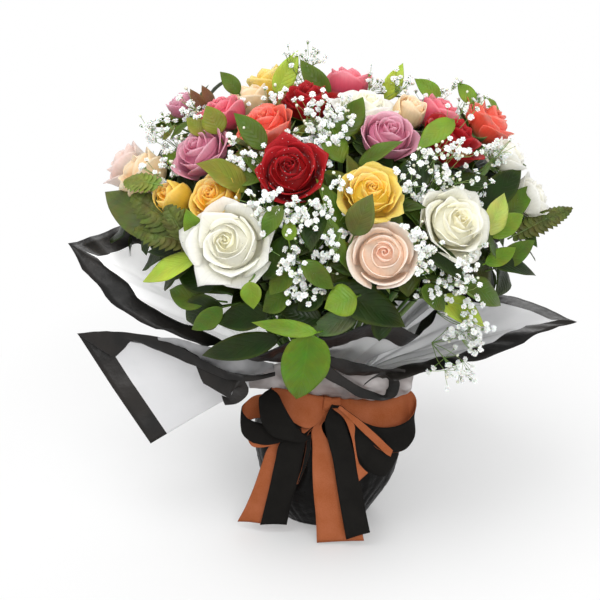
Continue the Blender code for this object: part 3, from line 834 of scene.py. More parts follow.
# Orange insides that show beside the black faces
LOW_RIGHT_STRIP = [
    ((5, -20, 4), (7, -20, 7)), ((14, -24, -3), (15, -24, 2)), ((24, -26, -13), (25, -26, -5)),
    ((36, -26, -25), (37, -26, -16)), ((47, -24, -37), (49, -24, -29)), ((52, -22, -41), (54, -22, -35)),
]
LOW_RIGHT_SLIVER = [
    ((0, -17, 3), (5, -17, 3)), ((11, -24, -5), (19, -25, -8)), ((17, -28, -20), (20, -29, -21)),
    ((20, -30, -35), (23, -31, -40)), ((22, -31, -49), (27, -32, -47)), ((24, -32, -60), (32, -32, -52)),
]
FAR_LEFT_STRIP = [
    ((-76, -3, -27), (-76, -3, -22)), ((-72, -13, -33), (-71, -13, -30)), ((-66, -18, -34), (-65, -18, -30)),
    ((-55, -22, -31), (-55, -22, -28)), ((-46, -23, -27), (-47, -22, -25)), ((-41, -20, -24), (-42, -19, -23)),
]
# A narrow strip that hangs beside the left black tail and shows its black side
LEFT_BLACK_STRIP = [
    ((-22, -19, -22), (-18, -19, -21)), ((-23, -22, -34), (-19, -22, -35)), ((-26, -22, -50), (-23, -22, -51)),
    ((-29, -20, -62), (-27, -20, -62)), ((-31, -19, -69), (-30, -19, -69)),
]
# Tails: from the knot down to their cut ends, as pairs from the middle of the knot
FRONT_ORANGE_TAIL = [
    ((-4, -6, -4), (4, -8, -4)), ((-17, -13, -18), (-9, -14, -14)), ((-17, -19, -32), (-2, -20, -29)),
    ((-17, -23, -52), (8, -23, -51)), ((-16, -26, -74), (15, -27, -73)), ((-14, -29, -95), (24, -31, -95)),
    ((-13, -32, -120), (29, -34, -117)),
]
FRONT_BLACK_TAIL = [
    ((0, -8, 3), (8, -8, 2)), ((-6, -19, -8), (10, -19, -6)),
    ((-4, -25, -22), (15, -25, -20)), ((1, -29, -42), (21, -29, -40)),
    ((5, -32, -68), (26, -32, -65)), ((9, -36, -91), (30, -36, -87)), ((13, -40, -113), (34, -40, -106)),
]
LEFT_BLACK_TAIL = [
    ((-8, -5, -6), (-4, -7, -8)), ((-26, -12, -17), (-18, -13, -19)), ((-45, -21, -27), (-22, -20, -24)),
    ((-50, -24, -44), (-26, -22, -43)), ((-54, -22, -64), (-30, -19, -66)), ((-59, -18, -88), (-36, -14, -90)),
    ((-64, -14, -111), (-40, -10, -113)),
]
LEFT_ORANGE_TAIL = [
    ((-14, -10, -8), (-10, -12, -10)), ((-38, -14, -22), (-26, -16, -23)), ((-55, -15, -34), (-39, -19, -31)),
    ((-62, -13, -52), (-46, -20, -50)), ((-69, -9, -75), (-52, -19, -73)), ((-77, -4, -97), (-58, -13, -95)),
    ((-85, 1, -115), (-64, -9, -112)),
]


def knot_shape():
    """The ribbon rolled over the middle of the bow: a short creased tube, its seam at the back."""
    shape = new_shape()
    made, _ = grid(shape, 40, 14)
    for across, along, vertex in made:
        turn = across * math.tau
        side = along * 2 - 1
        pinch = 1 - 0.20 * (1 - abs(side)) ** 1.4
        crease = 0.5 * math.sin(turn * 4 + side * 2.2) + 0.35 * math.sin(turn * 9 + side * 5)
        radius = 7.6 * pinch + crease * 0.8
        vertex.co = Vector((side * 7.4, radius * 0.92 * math.cos(turn), radius * math.sin(turn)))
    close_seam(shape, made)
    rims = [e for e in shape.edges if e.is_boundary]
    bmesh.ops.holes_fill(shape, edges=rims, sides=0)
    bmesh.ops.rotate(shape, verts=shape.verts, cent=(0, 0, 0), matrix=Matrix.Rotation(math.radians(8), 3, "Y"))
    bmesh.ops.translate(shape, verts=shape.verts, vec=middle("bow_knot"))
    bmesh.ops.recalc_face_normals(shape, faces=shape.faces)
    return shape


def band_shape():
    """The band round the neck: two turns of ribbon that slip over each other, creased where they are drawn tight."""
    shape = new_shape()
    made, _ = grid(shape, 160, 12)
    low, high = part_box("ribbon_band")
    low_z, high_z = low.z / MM, high.z / MM
    for across, along, vertex in made:
        azimuth = across * 360
        height = blend(low_z, high_z, along) + 1.2 * math.sin(math.radians(azimuth) * 2 + 0.8)
        ridge = 0.7 * abs(math.sin(along * 9 + 1.6 * ring_noise(azimuth, height, 22, 8)))
        vertex.co = around(39.1 + ridge - 0.3, azimuth, height)
    close_seam(shape, made)
    bmesh.ops.recalc_face_normals(shape, faces=shape.faces)
    return shape


def make_bow():
    dark, light = mixed(ORANGE_CLOTH, (0, 0, 0), 0.22), mixed(ORANGE_CLOTH, (1, 1, 1), 0.03)
    orange = ribbon_material("orange_ribbon", dark, light)
    black = ribbon_material("black_ribbon", (0.0060, 0.0054, 0.0048), (0.0120, 0.0110, 0.0096))
    # Each ribbon is 28 mm wide and pleated narrower in the knot, so its shown strip is a little narrower than the roll.
    # Each piece: its runs, its solid, its slot, its cloths outside and inside, and its flat strip
    ribbons = [
        ("right_loop", [(RIGHT_LOOP, 1.5)], "bow_loop_right", "ribbon_orange", orange, black, (0.0215, 0.185)),
        ("left_loop", [(LEFT_LOOP, 1.0)], "bow_loop_left", "ribbon_orange", black, orange, (0.0215, 0.150)),
        ("far_left_loop", [(FAR_LEFT_LOOP, 1.0), (FAR_LEFT_STRIP, 0.2)],
         "bow_loop_low_left", "ribbon_black", black, orange, (0.0185, 0.170)),
        ("low_right_loop", [(LOW_RIGHT_LOOP, 1.0), (LOW_RIGHT_STRIP, 0.4), (LOW_RIGHT_SLIVER, 0.3)],
         "bow_loop_low_right", "ribbon_black", black, orange, (0.0215, 0.125)),
        ("front_orange_tail", [(FRONT_ORANGE_TAIL, 1.2)],
         "tail_orange_front", "ribbon_orange", orange, orange, (0.025, 0.131)),
        ("front_black_tail", [(FRONT_BLACK_TAIL, 1.2)],
         "tail_black_front", "ribbon_black", black, black, (0.020, 0.122)),
        ("left_black_tail", [(LEFT_BLACK_TAIL, 1.2), (LEFT_BLACK_STRIP, 0.2)],
         "tail_black_left", "ribbon_black", orange, black, (0.020, 0.124)),
        ("left_orange_tail", [(LEFT_ORANGE_TAIL, 1.2)],
         "tail_orange_left", "ribbon_orange", orange, orange, (0.018, 0.130)),
    ]
    for name, runs, node_name, slot, outside, inside, strip in ribbons:
        piece = ribbon_piece(name, runs, node_name, outside, inside)
    finish_piece("bow_knot_roll", knot_shape(), [orange], ["bow_knot"])
    band = finish_piece("neck_band", band_shape(), [orange], ["ribbon_band"], wall=0.7)


# The collar of frosted film sheets with black borders

BORDER = 17.0          # width of the black border along a sheet's outer edge
BORDER_ROWS = 4
# Neck height at which each layer turns outwards, and how it is steered there, by the layer's radius
TURN_OUT = {34.8: (136.5, 15, 0.10), 36.2: (134, 9, 0.16)}
NECK_START = 110       # height at which the sheets begin, inside the tie

# Each sheet: its solid, its radius in the neck and its azimuths there, the corners of its outer edge, its flat area
# in square metres, its folds over the neck, its edge waves as (height, count, phase), its creases as (place across,
# drift, height, width), and how far the border stands up or hangs at each corner
FILM = [
    ("collar_upper_left", 34.8, (-150, -52),
     [(-118, 122, 229), (-189, 70, 246), (-212, 30, 249), (-230, 8, 254), (-217, -6, 245), (-188, -25, 226),
      (-165, -38, 213), (-149, -46, 204), (-125, -54, 197), (-104, -62, 190)],
     0.031, 9, (2.0, 3.0, 0.4),
     [(0.42, 0.10, 3.0, 0.03), (0.58, 0.12, -3.4, 0.04), (0.72, -0.10, 3.2, 0.03), (0.86, 0.02, -2.4, 0.03)],
     (7, 7, 7, 0, -12, -14, -14, -14, -12, -8)),
    ("collar_front", 34.8, (-48, 40),
     [(-62, -104, 190), (-14, -120, 205), (26, -130, 219), (57, -129, 217), (76, -122, 210),
      (98, -104, 228)],
     0.0165, 8, (3.6, 2.4, 1.2),
     [(0.20, 0.05, 3.0, 0.04), (0.45, -0.05, -3.0, 0.04), (0.66, 0.06, 4.0, 0.03), (0.84, 0.0, -2.6, 0.03)],
     (2, 3, 5, 5, 6, 6)),
    ("collar_back_right", 34.8, (62, 146),
     [(126, 44, 206), (168, 100, 238), (142, 142, 252), (84, 168, 238)],
     0.024, 8, (2.4, 2.5, 2.2),
     [(0.25, 0.08, 3.2, 0.04), (0.52, -0.06, -3.2, 0.03), (0.76, 0.04, 3.0, 0.04)],
     (3, -2, -2, 3)),
    ("collar_back_left", 36.2, (153, 207),
     [(64, 176, 214), (-2, 192, 232), (-78, 178, 240), (-104, 138, 212)],
     0.022, 6, (2.4, 2.0, 3.1),
     [(0.30, 0.05, 3.0, 0.04), (0.62, -0.08, -3.2, 0.04)],
     (-4, 1, 1, -4)),
    ("collar_lower_left", 36.2, (-88, -38),
     [(-156, -46, 84), (-188, -46, 137), (-218, -40, 186), (-189, -46, 188), (-145, -58, 186),
      (-110, -70, 172), (-84, -80, 162)],
     0.016, 6, (1.2, 2.0, 0.9),
     [(0.30, 0.02, 1.6, 0.06), (0.55, 0.10, 2.6, 0.03), (0.80, 0.02, -2.4, 0.04)],
     (0, 0, 0, 0, 0, 0, 0)),
    ("collar_right", 36.2, (22, 116),
     [(58, -90, 170), (100, -74, 172), (166, -42, 182), (228, 0, 192), (176, 62, 190), (110, 86, 192)],
     0.028, 9, (1.8, 3.2, 2.7),
     [(0.18, 0.04, -3.0, 0.03), (0.34, 0.08, 3.4, 0.03), (0.52, -0.04, -3.0, 0.03), (0.72, 0.05, 3.2, 0.04)],
     (-9, -9, -8, -7, -2, 3)),
]


def along_edge(points, share, values=None):
    """The point that lies a share of the way along a line of points, by length, or the value given for it."""
    lengths = [(b - a).length for a, b in zip(points, points[1:])]
    left = share * sum(lengths)
    values = values or points
    for a, b, length in zip(values, values[1:], lengths):
        if left <= length:
            return a + (b - a) * (left / length)
        left -= length
    return values[-1]


def column_shares(points, columns):
    """Where the columns of a sheet cross its outer edge, so that every corner has a column of its own."""
    lengths = [(b - a).length for a, b in zip(points, points[1:])]
    total = sum(lengths)
    counts = [max(2, round(columns * length / total)) for length in lengths]
    counts[lengths.index(max(lengths))] += columns - sum(counts)
    shares, passed = [0.0], 0.0
    for length, count in zip(lengths, counts):
        shares += [(passed + length * step / count) / total for step in range(1, count + 1)]
        passed += length
    return shares


class Sheet:
    """The shape of one collar sheet: held upright in the neck, then swept out to its outer edge."""

    def __init__(self, neck_radius, azimuths, edge, folds, waves, creases, seed):
        self.radius, self.azimuths, self.seed = neck_radius, azimuths, seed
        self.folds, self.waves, self.creases = folds, waves, creases
        self.edge = [Vector(point) for point in edge]

    def plain(self, across, up):
        """The smooth sheet: across runs along its outer edge, and up from the neck to that edge."""
        azimuth = blend(*self.azimuths, across)
        top, steer_up, steer_out = TURN_OUT[self.radius]
        rise = max(0.0, up * 6 - 1) / 5
        held = min(up * 6, 1.0)
        neck = around(self.radius, azimuth, blend(NECK_START, top, held))
        foot = around(self.radius, azimuth, top)
        target = along_edge(self.edge, across)
        steer = foot + Vector((0, 0, steer_up)) + (target - foot) * steer_out
        if rise <= 0:
            return neck
        return foot * (1 - rise) ** 2 + steer * (2 * rise * (1 - rise)) + target * rise ** 2

    def point(self, across, up):
        """The sheet with its gathers, creases and waves, each added along its normal."""
        spot = self.plain(across, up)
        step = 0.01
        over = self.plain(min(across + step, 1), up) - self.plain(max(across - step, 0), up)
        rise = self.plain(across, min(up + step, 1)) - self.plain(across, max(up - step, 0))
        normal = over.cross(rise)
        normal = normal.normalized() if normal.length > 1e-9 else UP
        phase = across * self.folds * math.tau
        gather = math.sin(phase + 1.5 * wobble((across * 60, up * 30, 0), 9, self.seed))
        gather = math.copysign(abs(gather) ** 0.7, gather)
        out = gather * (0.35 + 2.6 * ease(0.17, 0.34, up) * (1 - ease(0.36, 0.85, up)))
        for place, drift, height, width in self.creases:
            away = abs(across - place - drift * (up - 0.5))
            out += height * math.exp(-away / width) * ease(0.15, 0.45, up) * (1 - 0.45 * ease(0.7, 1.0, up))
        wave, count, start = self.waves
        out += wave * math.sin(across * count * math.tau + start) * ease(0.45, 1.0, up)
        broad, fine = wobble(spot, 34, self.seed), wobble(spot, 11, self.seed + 3)
        out += 1.1 * broad * ease(0.2, 0.5, up) + 0.5 * fine * ease(0.2, 0.4, up)
        return spot + normal * out


def film_materials():
    """Frosted film; a lighter copy of it that glows a little, as painted light through the sheet; its glossy black
    border; film folded over itself, grey partly from its layers and partly from painted shade; and neck film with
    painted shade and a painted pink reflection of the ribbon.
    """
    clear, tree, shader = principled("frosted_film", 0.42, Transmission_Weight=0.5, IOR=1.25, Alpha=0.86)
    place = coordinates(tree)
    cloud = noise_node(tree, place, 22.0, 3.0)
    crinkle = noise_node(tree, place, 160.0, 3.0, 0.6)
    clouded(tree, shader, cloud, (0.80, 0.80, 0.81), (0.92, 0.92, 0.93))
    roughened(tree, shader, crinkle, 0.34, 0.5)
    bump(tree, shader, crinkle.outputs["Fac"], 0.25, 0.0012)
    # A lit copy of the frosted film: whiter, and glowing a little though it is no lamp, as painted light coming through
    # the sheet
    white, tree, shader = principled("film_with_painted_glow", 0.42, Transmission_Weight=0.25, IOR=1.25, Alpha=0.95,
                                     Emission_Color=(1, 1, 1, 1), Emission_Strength=0.22)
    cloud = noise_node(tree, coordinates(tree), 22.0, 3.0)
    clouded(tree, shader, cloud, (0.92, 0.92, 0.925), (0.99, 0.99, 0.99))
    bump(tree, shader, cloud.outputs["Fac"], 0.25, 0.0012)
    border, tree, shader = principled("black_film_border", 0.4, Specular_IOR_Level=0.25)
    place = coordinates(tree)
    cloud = noise_node(tree, place, 26.0, 2.0)
    crinkle = noise_node(tree, place, 240.0, 3.0, 0.6)
    clouded(tree, shader, cloud, (0.009, 0.0085, 0.008), (0.020, 0.017, 0.015), (0.38, 0.62))
    roughened(tree, shader, crinkle, 0.34, 0.5)
    bump(tree, shader, crinkle.outputs["Fac"], 0.3, 0.001)
    # Grey film: its dark colour and dark clouds are partly its folded layers and partly painted shade of what lies
    # behind it
    painted_shade_film, tree, shader = principled("shaded_film", 0.35, Transmission_Weight=0.3, IOR=1.25, Alpha=0.92)
    cloud = noise_node(tree, coordinates(tree), 34.0, 2.0)
    clouded(tree, shader, cloud, (0.16, 0.16, 0.165), (0.48, 0.48, 0.49), (0.35, 0.65))
    # Neck film: darker grey with a pink tint, as painted shade and a painted reflection of the orange ribbon
    shade_and_reflection_film, tree, shader = principled("neck_film", 0.35, Transmission_Weight=0.4, IOR=1.25, Alpha=0.86)
    cloud = noise_node(tree, coordinates(tree), 40.0, 2.0)
    clouded(tree, shader, cloud, (0.34, 0.30, 0.29), (0.72, 0.68, 0.67), (0.35, 0.65))
    return {"clear": clear, "white": white, "border": border, "painted_shade_film": painted_shade_film, "shade_and_reflection_film": shade_and_reflection_film}


def border_starts(sheet, shares, width):
    """How far up each column the black border begins, for a border of that width as seen across its edge."""
    starts = []
    for across in shares:
        top, near = sheet.plain(across, 1.0), sheet.plain(across, 0.94)
        rate = (top - near).length / 0.06
        edge_way = (sheet.plain(min(across + 0.01, 1), 1.0) - sheet.plain(max(across - 0.01, 0), 1.0)).normalized()
        lean = max((top - near).normalized().cross(edge_way).length, 0.42)
        starts.append(1 - width / lean / rate)
    return starts


def make_collar(finishes):
    columns, rows = 84, 34
    body = rows - BORDER_ROWS
    for number, (name, radius, azimuths, edge, area, folds, waves, creases, lifts) in enumerate(FILM):
        sheet = Sheet(radius, azimuths, edge, folds, waves, creases, number + 1)
        shares = column_shares(sheet.edge, columns)
        starts = border_starts(sheet, shares, BORDER * (1.5 if name == "collar_front" else 1))
        shape = new_shape()
        made, faces = grid(shape, columns, rows)
        row_of = {}
        for across, along, vertex in made:
            column, row = round(across * columns), round(along * rows)
            row_of[vertex] = row
            start = starts[column]
            turned = max(0.0, (row - body) / BORDER_ROWS)
            up = start * row / body if row <= body else blend(start, 1.0, turned)
            lift = along_edge(sheet.edge, shares[column], lifts)
            vertex.co = sheet.point(shares[column], up) + UP * (lift * turned ** 1.3)
        for face in faces:
            if min(row_of[v] for v in face.verts) >= body:
                face.material_index = 1
        # The upper left sheet takes the lit copy of the film, with its painted glow
        inner = finishes["white" if name == "collar_upper_left" else "clear"]
        piece = finish_piece(name + "_film", shape, [inner, finishes["border"]], [name], wall=0.22)


# Loose folds of film over the neck, as pairs of edge points from the middle of the knot
LEFT_TOP_BORDER = [
    ((-224, 4, 65), (-191, -4, 45)), ((-210, 0, 68), (-182, -5, 54)), ((-195, -4, 70), (-174, -7, 62)),
    ((-173, -10, 70), (-159, -12, 58)), ((-151, -16, 69), (-141, -19, 53)), ((-132, -23, 63), (-123, -25, 47)),
    ((-116, -29, 55), (-109, -31, 43)), ((-101, -34, 49), (-96, -35, 39)), ((-90, -37, 45), (-86, -37, 37)),
    ((-74, -35, 41), (-73, -35, 35)), ((-61, -29, 39), (-60, -29, 35)), ((-50, -19, 38), (-50, -19, 34)),
]
LEFT_GREY_FOLD = [
    ((-151, -19, 70), (-149, -17, 68)), ((-138, -25, 71), (-137, -21, 64)), ((-129, -29, 71), (-127, -23, 60)),
    ((-117, -33, 69), (-115, -26, 54)), ((-108, -35, 67), (-104, -29, 48)), ((-95, -37, 64), (-92, -31, 43)),
    ((-84, -35, 60), (-82, -29, 39)), ((-70, -29, 53), (-70, -23, 37)), ((-51, -15, 44), (-51, -11, 35)),
]
LEFT_DARK_FOLD = [
    ((-93, -49, 71), (-94, -45, 60)), ((-80, -51, 74), (-85, -45, 63)), ((-65, -51, 70), (-69, -43, 57)),
    ((-45, -47, 66), (-45, -37, 53)), ((-27, -39, 61), (-27, -27, 47)),
]
LEFT_CURL = [
    ((-118, -25, 45), (-112, -27, 30)), ((-106, -27, 43), (-96, -31, 22)), ((-92, -31, 37), (-89, -35, 20)),
    ((-79, -35, 38), (-87, -39, 26)), ((-73, -33, 29), (-86, -31, 26)), ((-74, -27, 19), (-88, -21, 17)),
    ((-83, -21, 9), (-92, -13, 12)), ((-94, -15, 5), (-97, -9, 12)),
]
RIGHT_BORDER_LOOP = [
    ((-10, -50, 62), (-18, -48, 53)), ((2, -42, 48), (-6, -41, 40)), ((14, -34, 36), (9, -34, 29)),
    ((26, -27, 26), (22, -28, 18)), ((37, -22, 20), (34, -24, 14)), ((45, -19, 16), (45, -22, 12)),
    ((47, -19, 19), (55, -23, 16)), ((47, -21, 24), (58, -26, 24)), ((46, -24, 30), (58, -30, 33)),
    ((43, -28, 35), (53, -34, 41)), ((39, -33, 38), (46, -38, 46)), ((32, -38, 37), (36, -41, 42)),
    ((26, -42, 34), (27, -43, 36)),
]
NECK_PANEL = [
    ((-74, -2, 27), (-72, 2, 15)), ((-62, -6, 34), (-60, 4, 13)), ((-46, -10, 43), (-44, 4, 12)),
    ((-24, -23, 46), (-25, 1, 11)), ((-9, -45, 61), (-9, 0, 8)),
    ((7, -41, 55), (8, -1, 7)), ((24, -35, 48), (24, -2, 5)),
    ((39, -33, 44), (40, -3, 5)), ((55, -31, 43), (57, -5, 9)), ((70, -29, 41), (69, -9, 17)),
]
DARK_UNDERFOLD = [
    ((-10, -51, 65), (-9, -49, 58)), ((6, -53, 63), (10, -41, 44)), ((23, -51, 57), (24, -37, 41)),
    ((37, -47, 52), (39, -35, 42)), ((52, -44, 50), (52, -38, 44)), ((62, -42, 49), (62, -38, 45)),
]


def make_neck_folds(finishes):
    """The gathered film over the neck, in front of the collar: panels that let light through, and black borders."""
    # Each fold: its edge points, its film, its flat strip, how far it is cupped and how crumpled it is
    gathers = [
        ("left_top_border", LEFT_TOP_BORDER, "border", (0.014, 0.200), 0.5, 1.0),
        ("left_grey_fold", LEFT_GREY_FOLD, "painted_shade_film", (0.014, 0.118), 1.5, 1.6),
        ("left_dark_fold", LEFT_DARK_FOLD, "border", (0.015, 0.075), 1.0, 1.5),
        ("left_curl", LEFT_CURL, "border", (0.016, 0.080), 0.5, 0.6),
        ("right_border_loop", RIGHT_BORDER_LOOP, "border", (0.0105, 0.136), 0.6, 0.5),
        ("neck_panel", NECK_PANEL, "shade_and_reflection_film", (0.050, 0.150), 3.0, 2.6),
        ("dark_underfold", DARK_UNDERFOLD, "border", (0.016, 0.098), 1.0, 1.5),
    ]
    for number, (name, pairs, finish, flat, cup, crumple) in enumerate(gathers):
        shape = new_shape()
        ribbon_run(shape, beside_knot(pairs), cup, number + 30, 9, 16, crumple)
        piece = finish_piece(name, shape, [finishes[finish]], (), wall=0.22)


# Leaves and ferns

DARK = (0.015, 0.030, 0.005)
MID = (0.075, 0.125, 0.014)
DROOP = (0.100, 0.195, 0.012)
BRIGHT = (0.150, 0.240, 0.022)
LIGHT = (0.400, 0.520, 0.060)
OLIVE = (0.190, 0.200, 0.028)
PALE = (0.370, 0.430, 0.100)
SAGE = (0.085, 0.115, 0.048)
OLD = (0.088, 0.108, 0.030)
GREY = (0.090, 0.105, 0.024)
REDDISH = (0.140, 0.060, 0.030)
FERN = (0.190, 0.250, 0.045)
OLD_FERN = (0.085, 0.095, 0.024)

# Each leaf: its group, a rose near it, its root and its tip from that rose's middle, its width and its green
LEAVES = [
    ("left", "rose_white_front_left", (-26, 34, -21), (-77, 57, -50), 22, LIGHT),
    ("left", "rose_white_front_left", (-7, 34, -64), (-40, 52, -84), 32, DARK),
    ("left", "rose_white_front_left", (-7, 26, -63), (-34, 38, -87), 17, MID),
    ("front", "rose_white_front_left", (17, -24, -25), (20, -28, -47), 17, BRIGHT),
    ("left", "rose_white_front_left", (41, 20, -87), (-29, 44, -113), 22, DARK),
    ("front", "rose_white_front_left", (32, 10, -65), (-14, 28, -77), 24, DARK),
    ("front", "rose_blush_front", (-51, 3, -65), (-105, 12, -59), 14, BRIGHT),
    ("front", "rose_blush_front", (-47, 20, -60), (-84, 22, -51), 20, DARK),
    ("front", "rose_blush_front", (-19, 14, -54), (-60, 16, -71), 20, SAGE),
    ("front", "rose_blush_front", (-20, 0, -34), (-46, -2, -43), 27, BRIGHT),
    ("front", "rose_blush_front", (-58, 8, -67), (-68, 42, -143), 40, DROOP),
    ("front", "rose_blush_front", (-43, 10, -29), (24, 20, -66), 32, DARK),
    ("front", "rose_blush_front", (-47, 16, -33), (-68, 16, -51), 20, DARK),
    ("front", "rose_blush_front", (-23, 26, 11), (-52, 30, 56), 17, MID),
    ("front", "rose_white_front_left", (48, -13, 5), (48, -8, 23), 12, BRIGHT),
    ("front", "rose_blush_front", (-23, -2, 17), (-9, -6, 52), 23, GREY),
    ("front", "rose_red_centre", (25, -27, -29), (48, -35, -75), 15, MID),
    ("left", "rose_yellow_bud", (10, 18, -42), (-67, 74, -11), 40, OLD),
    ("left", "rose_yellow_bud", (20, -12, -42), (-24, 14, -51), 18, DARK),
    ("left", "rose_yellow_left", (26, 3, 5), (-13, -9, 31), 27, OLIVE),
    ("left", "rose_red_centre", (-23, 25, -11), (-50, 15, -15), 18, MID),
    ("left", "rose_red_centre", (-21, 29, 10), (-46, 33, 40), 19, MID),
    ("left", "rose_mauve_left", (16, 4, 13), (6, 8, 37), 21, OLIVE),
    ("left", "rose_mauve_left", (4, 8, 11), (-11, 14, 26), 16, OLIVE),
    ("left", "rose_pink_left", (-27, -11, -7), (-44, -11, -21), 14, MID),
    ("left", "rose_pink_left", (-39, -1, -11), (-53, -3, -31), 13, OLIVE),
    ("back", "rose_peach_top", (-6, -13, 7), (-23, -9, 26), 14, MID),
    ("left", "rose_pink_left", (-15, 23, -3), (-28, 25, 16), 11, REDDISH),
    ("left", "rose_pink_left", (-8, 23, 0), (-18, 27, 19), 10, REDDISH),
    ("back", "rose_peach_top", (25, 1, 4), (45, 5, 42), 19, LIGHT),
    ("back", "rose_pink_top", (-16, -21, -9), (-42, -19, 24), 19, MID),
    ("left", "rose_white_front_left", (-20, 28, -5), (-34, 12, 24), 19, BRIGHT),
    ("back", "rose_pink_top", (32, 1, -17), (49, 5, 16), 17, LIGHT),
    ("right", "rose_pink_right", (3, 22, 8), (-20, 28, 25), 15, BRIGHT),
    ("right", "rose_coral_right", (-14, 4, 15), (-29, 10, 33), 14, BRIGHT),
    ("right", "rose_coral_right", (7, 0, 7), (-5, 6, 23), 14, BRIGHT),
    ("front", "rose_mauve_right", (-41, 0, -2), (-19, 18, 29), 22, MID),
    ("front", "rose_mauve_right", (-25, -20, -21), (10, -28, 2), 17, MID),
    ("front", "rose_mauve_right", (3, -16, -25), (-31, 12, -3), 24, DARK),
    ("right", "rose_red_right", (-4, -31, 22), (-36, -47, 1), 20, BRIGHT),
    ("right", "rose_mauve_right", (34, -20, -14), (1, -30, -50), 28, DARK),
    ("right", "rose_cream_right", (23, 61, -7), (66, 101, 22), 26, DARK),
    ("right", "rose_white_far_right", (-25, -26, -12), (-1, -6, 12), 18, MID),
    ("right", "rose_cream_right", (29, 35, -21), (46, 51, 12), 21, PALE),
    ("right", "rose_cream_right", (34, 47, -26), (65, 69, -11), 19, BRIGHT),
    ("right", "rose_cream_right", (30, 47, -49), (59, 65, -39), 15, BRIGHT),
    ("right", "rose_white_far_right", (-37, -56, -48), (1, -30, -30), 18, MID),
    ("right", "rose_cream_right", (30, 51, -48), (82, 81, -68), 16, DARK),
    ("right", "rose_blush_front", (32, 20, -34), (56, 36, -58), 20, MID),
    ("right", "rose_cream_right", (-13, 11, -69), (31, 31, -99), 24, LIGHT),
    ("right", "rose_cream_right", (7, 11, -57), (46, 41, -84), 24, MID),
    ("front", "rose_white_front_left", (58, -18, -10), (85, -12, -35), 18, MID),
    ("front", "rose_red_centre", (-6, -33, -21), (-22, -41, -46), 16, MID),
    ("front", "rose_white_front_left", (53, -6, -19), (32, -4, -43), 20, MID),
    ("front", "rose_white_front_left", (48, 2, -40), (25, 10, -61), 22, MID),
    ("left", "rose_white_front_left", (-12, 24, -1), (-29, 32, -25), 14, MID),
    ("left", "rose_white_front_left", (-20, 40, -61), (-55, 60, -58), 22, MID),
    ("left", "rose_white_front_left", (-15, 40, -52), (-48, 60, -39), 22, DARK),
]

# Each frond: its group, a rose near it, its root and its tip from that rose's middle, its green, its leaflet pairs and
# its width
FERNS = [
    ("left", "rose_yellow_bud", (-7, -4, 11), (-41, 22, 8), FERN, 8, 13),
    ("left", "rose_yellow_left", (-18, 7, -38), (-71, 37, -8), OLD_FERN, 10, 19),
    ("left", "rose_white_front_left", (-34, 30, -9), (-51, 36, 21), OLD_FERN, 8, 14),
    ("left", "rose_white_front_left", (-29, 36, -13), (-81, 64, -7), OLD_FERN, 10, 15),
    ("right", "rose_white_far_right", (-24, -26, -31), (38, 18, -15), OLD_FERN, 13, 13),
]

# Each spray of greenery: the azimuth of its stalks, and how high they reach
GROUPS = {"front": (-8, 236), "left": (-72, 236), "right": (62, 236), "back": (164, 215)}
# Each ring of the skirt: how far out its leaves start and end, the lowest and the highest of them, and their number
RINGS = [(34, 78, 196, 222, 26), (52, 98, 212, 240, 34), (66, 122, 224, 256, 44), (84, 142, 236, 268, 40)]
# Each layer of the dome: its leaves, how far from the focus they lie, and how far their tips stand up
DOME = [(300, 150, 172, 0.05), (230, 172, 190, 0.35)]


def leaf_material():
    """A leaf's veins run from the midrib to its edge: across is its U and along is its V."""
    material, tree, shader = principled("leaf", 0.36, Specular_IOR_Level=0.16)
    place = node(tree, "ShaderNodeSeparateXYZ")
    link(tree, coordinates(tree, "UV"), place.inputs[0])
    aside = maths(tree, "ABSOLUTE", maths(tree, "SUBTRACT", place.outputs["X"], 0.5))
    rib = maths(tree, "LESS_THAN", aside, 0.018)
    slant = maths(tree, "MULTIPLY", place.outputs["Y"], 8.0)
    slant = maths(tree, "SUBTRACT", slant, maths(tree, "MULTIPLY", aside, 5.0))
    vein = maths(tree, "PINGPONG", slant, 0.5)
    line = ranged(tree, vein, 0.0, 0.06, 1.0, 0.0)
    line = maths(tree, "MAXIMUM", rib, maths(tree, "MULTIPLY", line, 0.4), clamp=True)
    cloud = noise_node(tree, coordinates(tree), 75.0, 3.0)
    pale = mix_colour(tree, 1.0, tint_of(tree), (1.35, 1.28, 1.4), "MULTIPLY")
    colour = mix_colour(tree, maths(tree, "MULTIPLY", line, 0.35), tint_of(tree), pale)
    colour = mix_colour(tree, 0.5, colour, cloud.outputs["Color"], "SOFT_LIGHT")
    link(tree, colour, shader.inputs["Base Color"])
    roughened(tree, shader, cloud, 0.28, 0.46)
    swell = ranged(tree, vein, 0.0, 0.22, 0.0, 1.0)
    swell = maths(tree, "ADD", swell, maths(tree, "MULTIPLY", cloud.outputs["Fac"], 0.6))
    bump(tree, shader, swell, 0.32, 0.0008)
    return material


def clear_of_blooms(root, tip, width, besides=()):
    """Whether a leaf stays out of every bloom along its middle and both edges."""
    aside = (tip - root).cross(UP).normalized() * width * 0.42
    for share in (0.25, 0.5, 0.75, 1.0):
        for shift in (-1, 0, 1):
            spot = root.lerp(tip, share) + aside * (shift * math.sin(math.pi * share))
            for name, (centre, _, size) in ROSE_SIZES.items():
                if name not in besides and (spot - centre).length < size * 0.93:
                    return False
    return True


def seen_from_front(spot):
    """A point as seen from the front, a little from above: how far across, how far up and how far back it is."""
    return spot.x, spot.z * 0.951 + spot.y * 0.309, spot.y * 0.951 - spot.z * 0.309


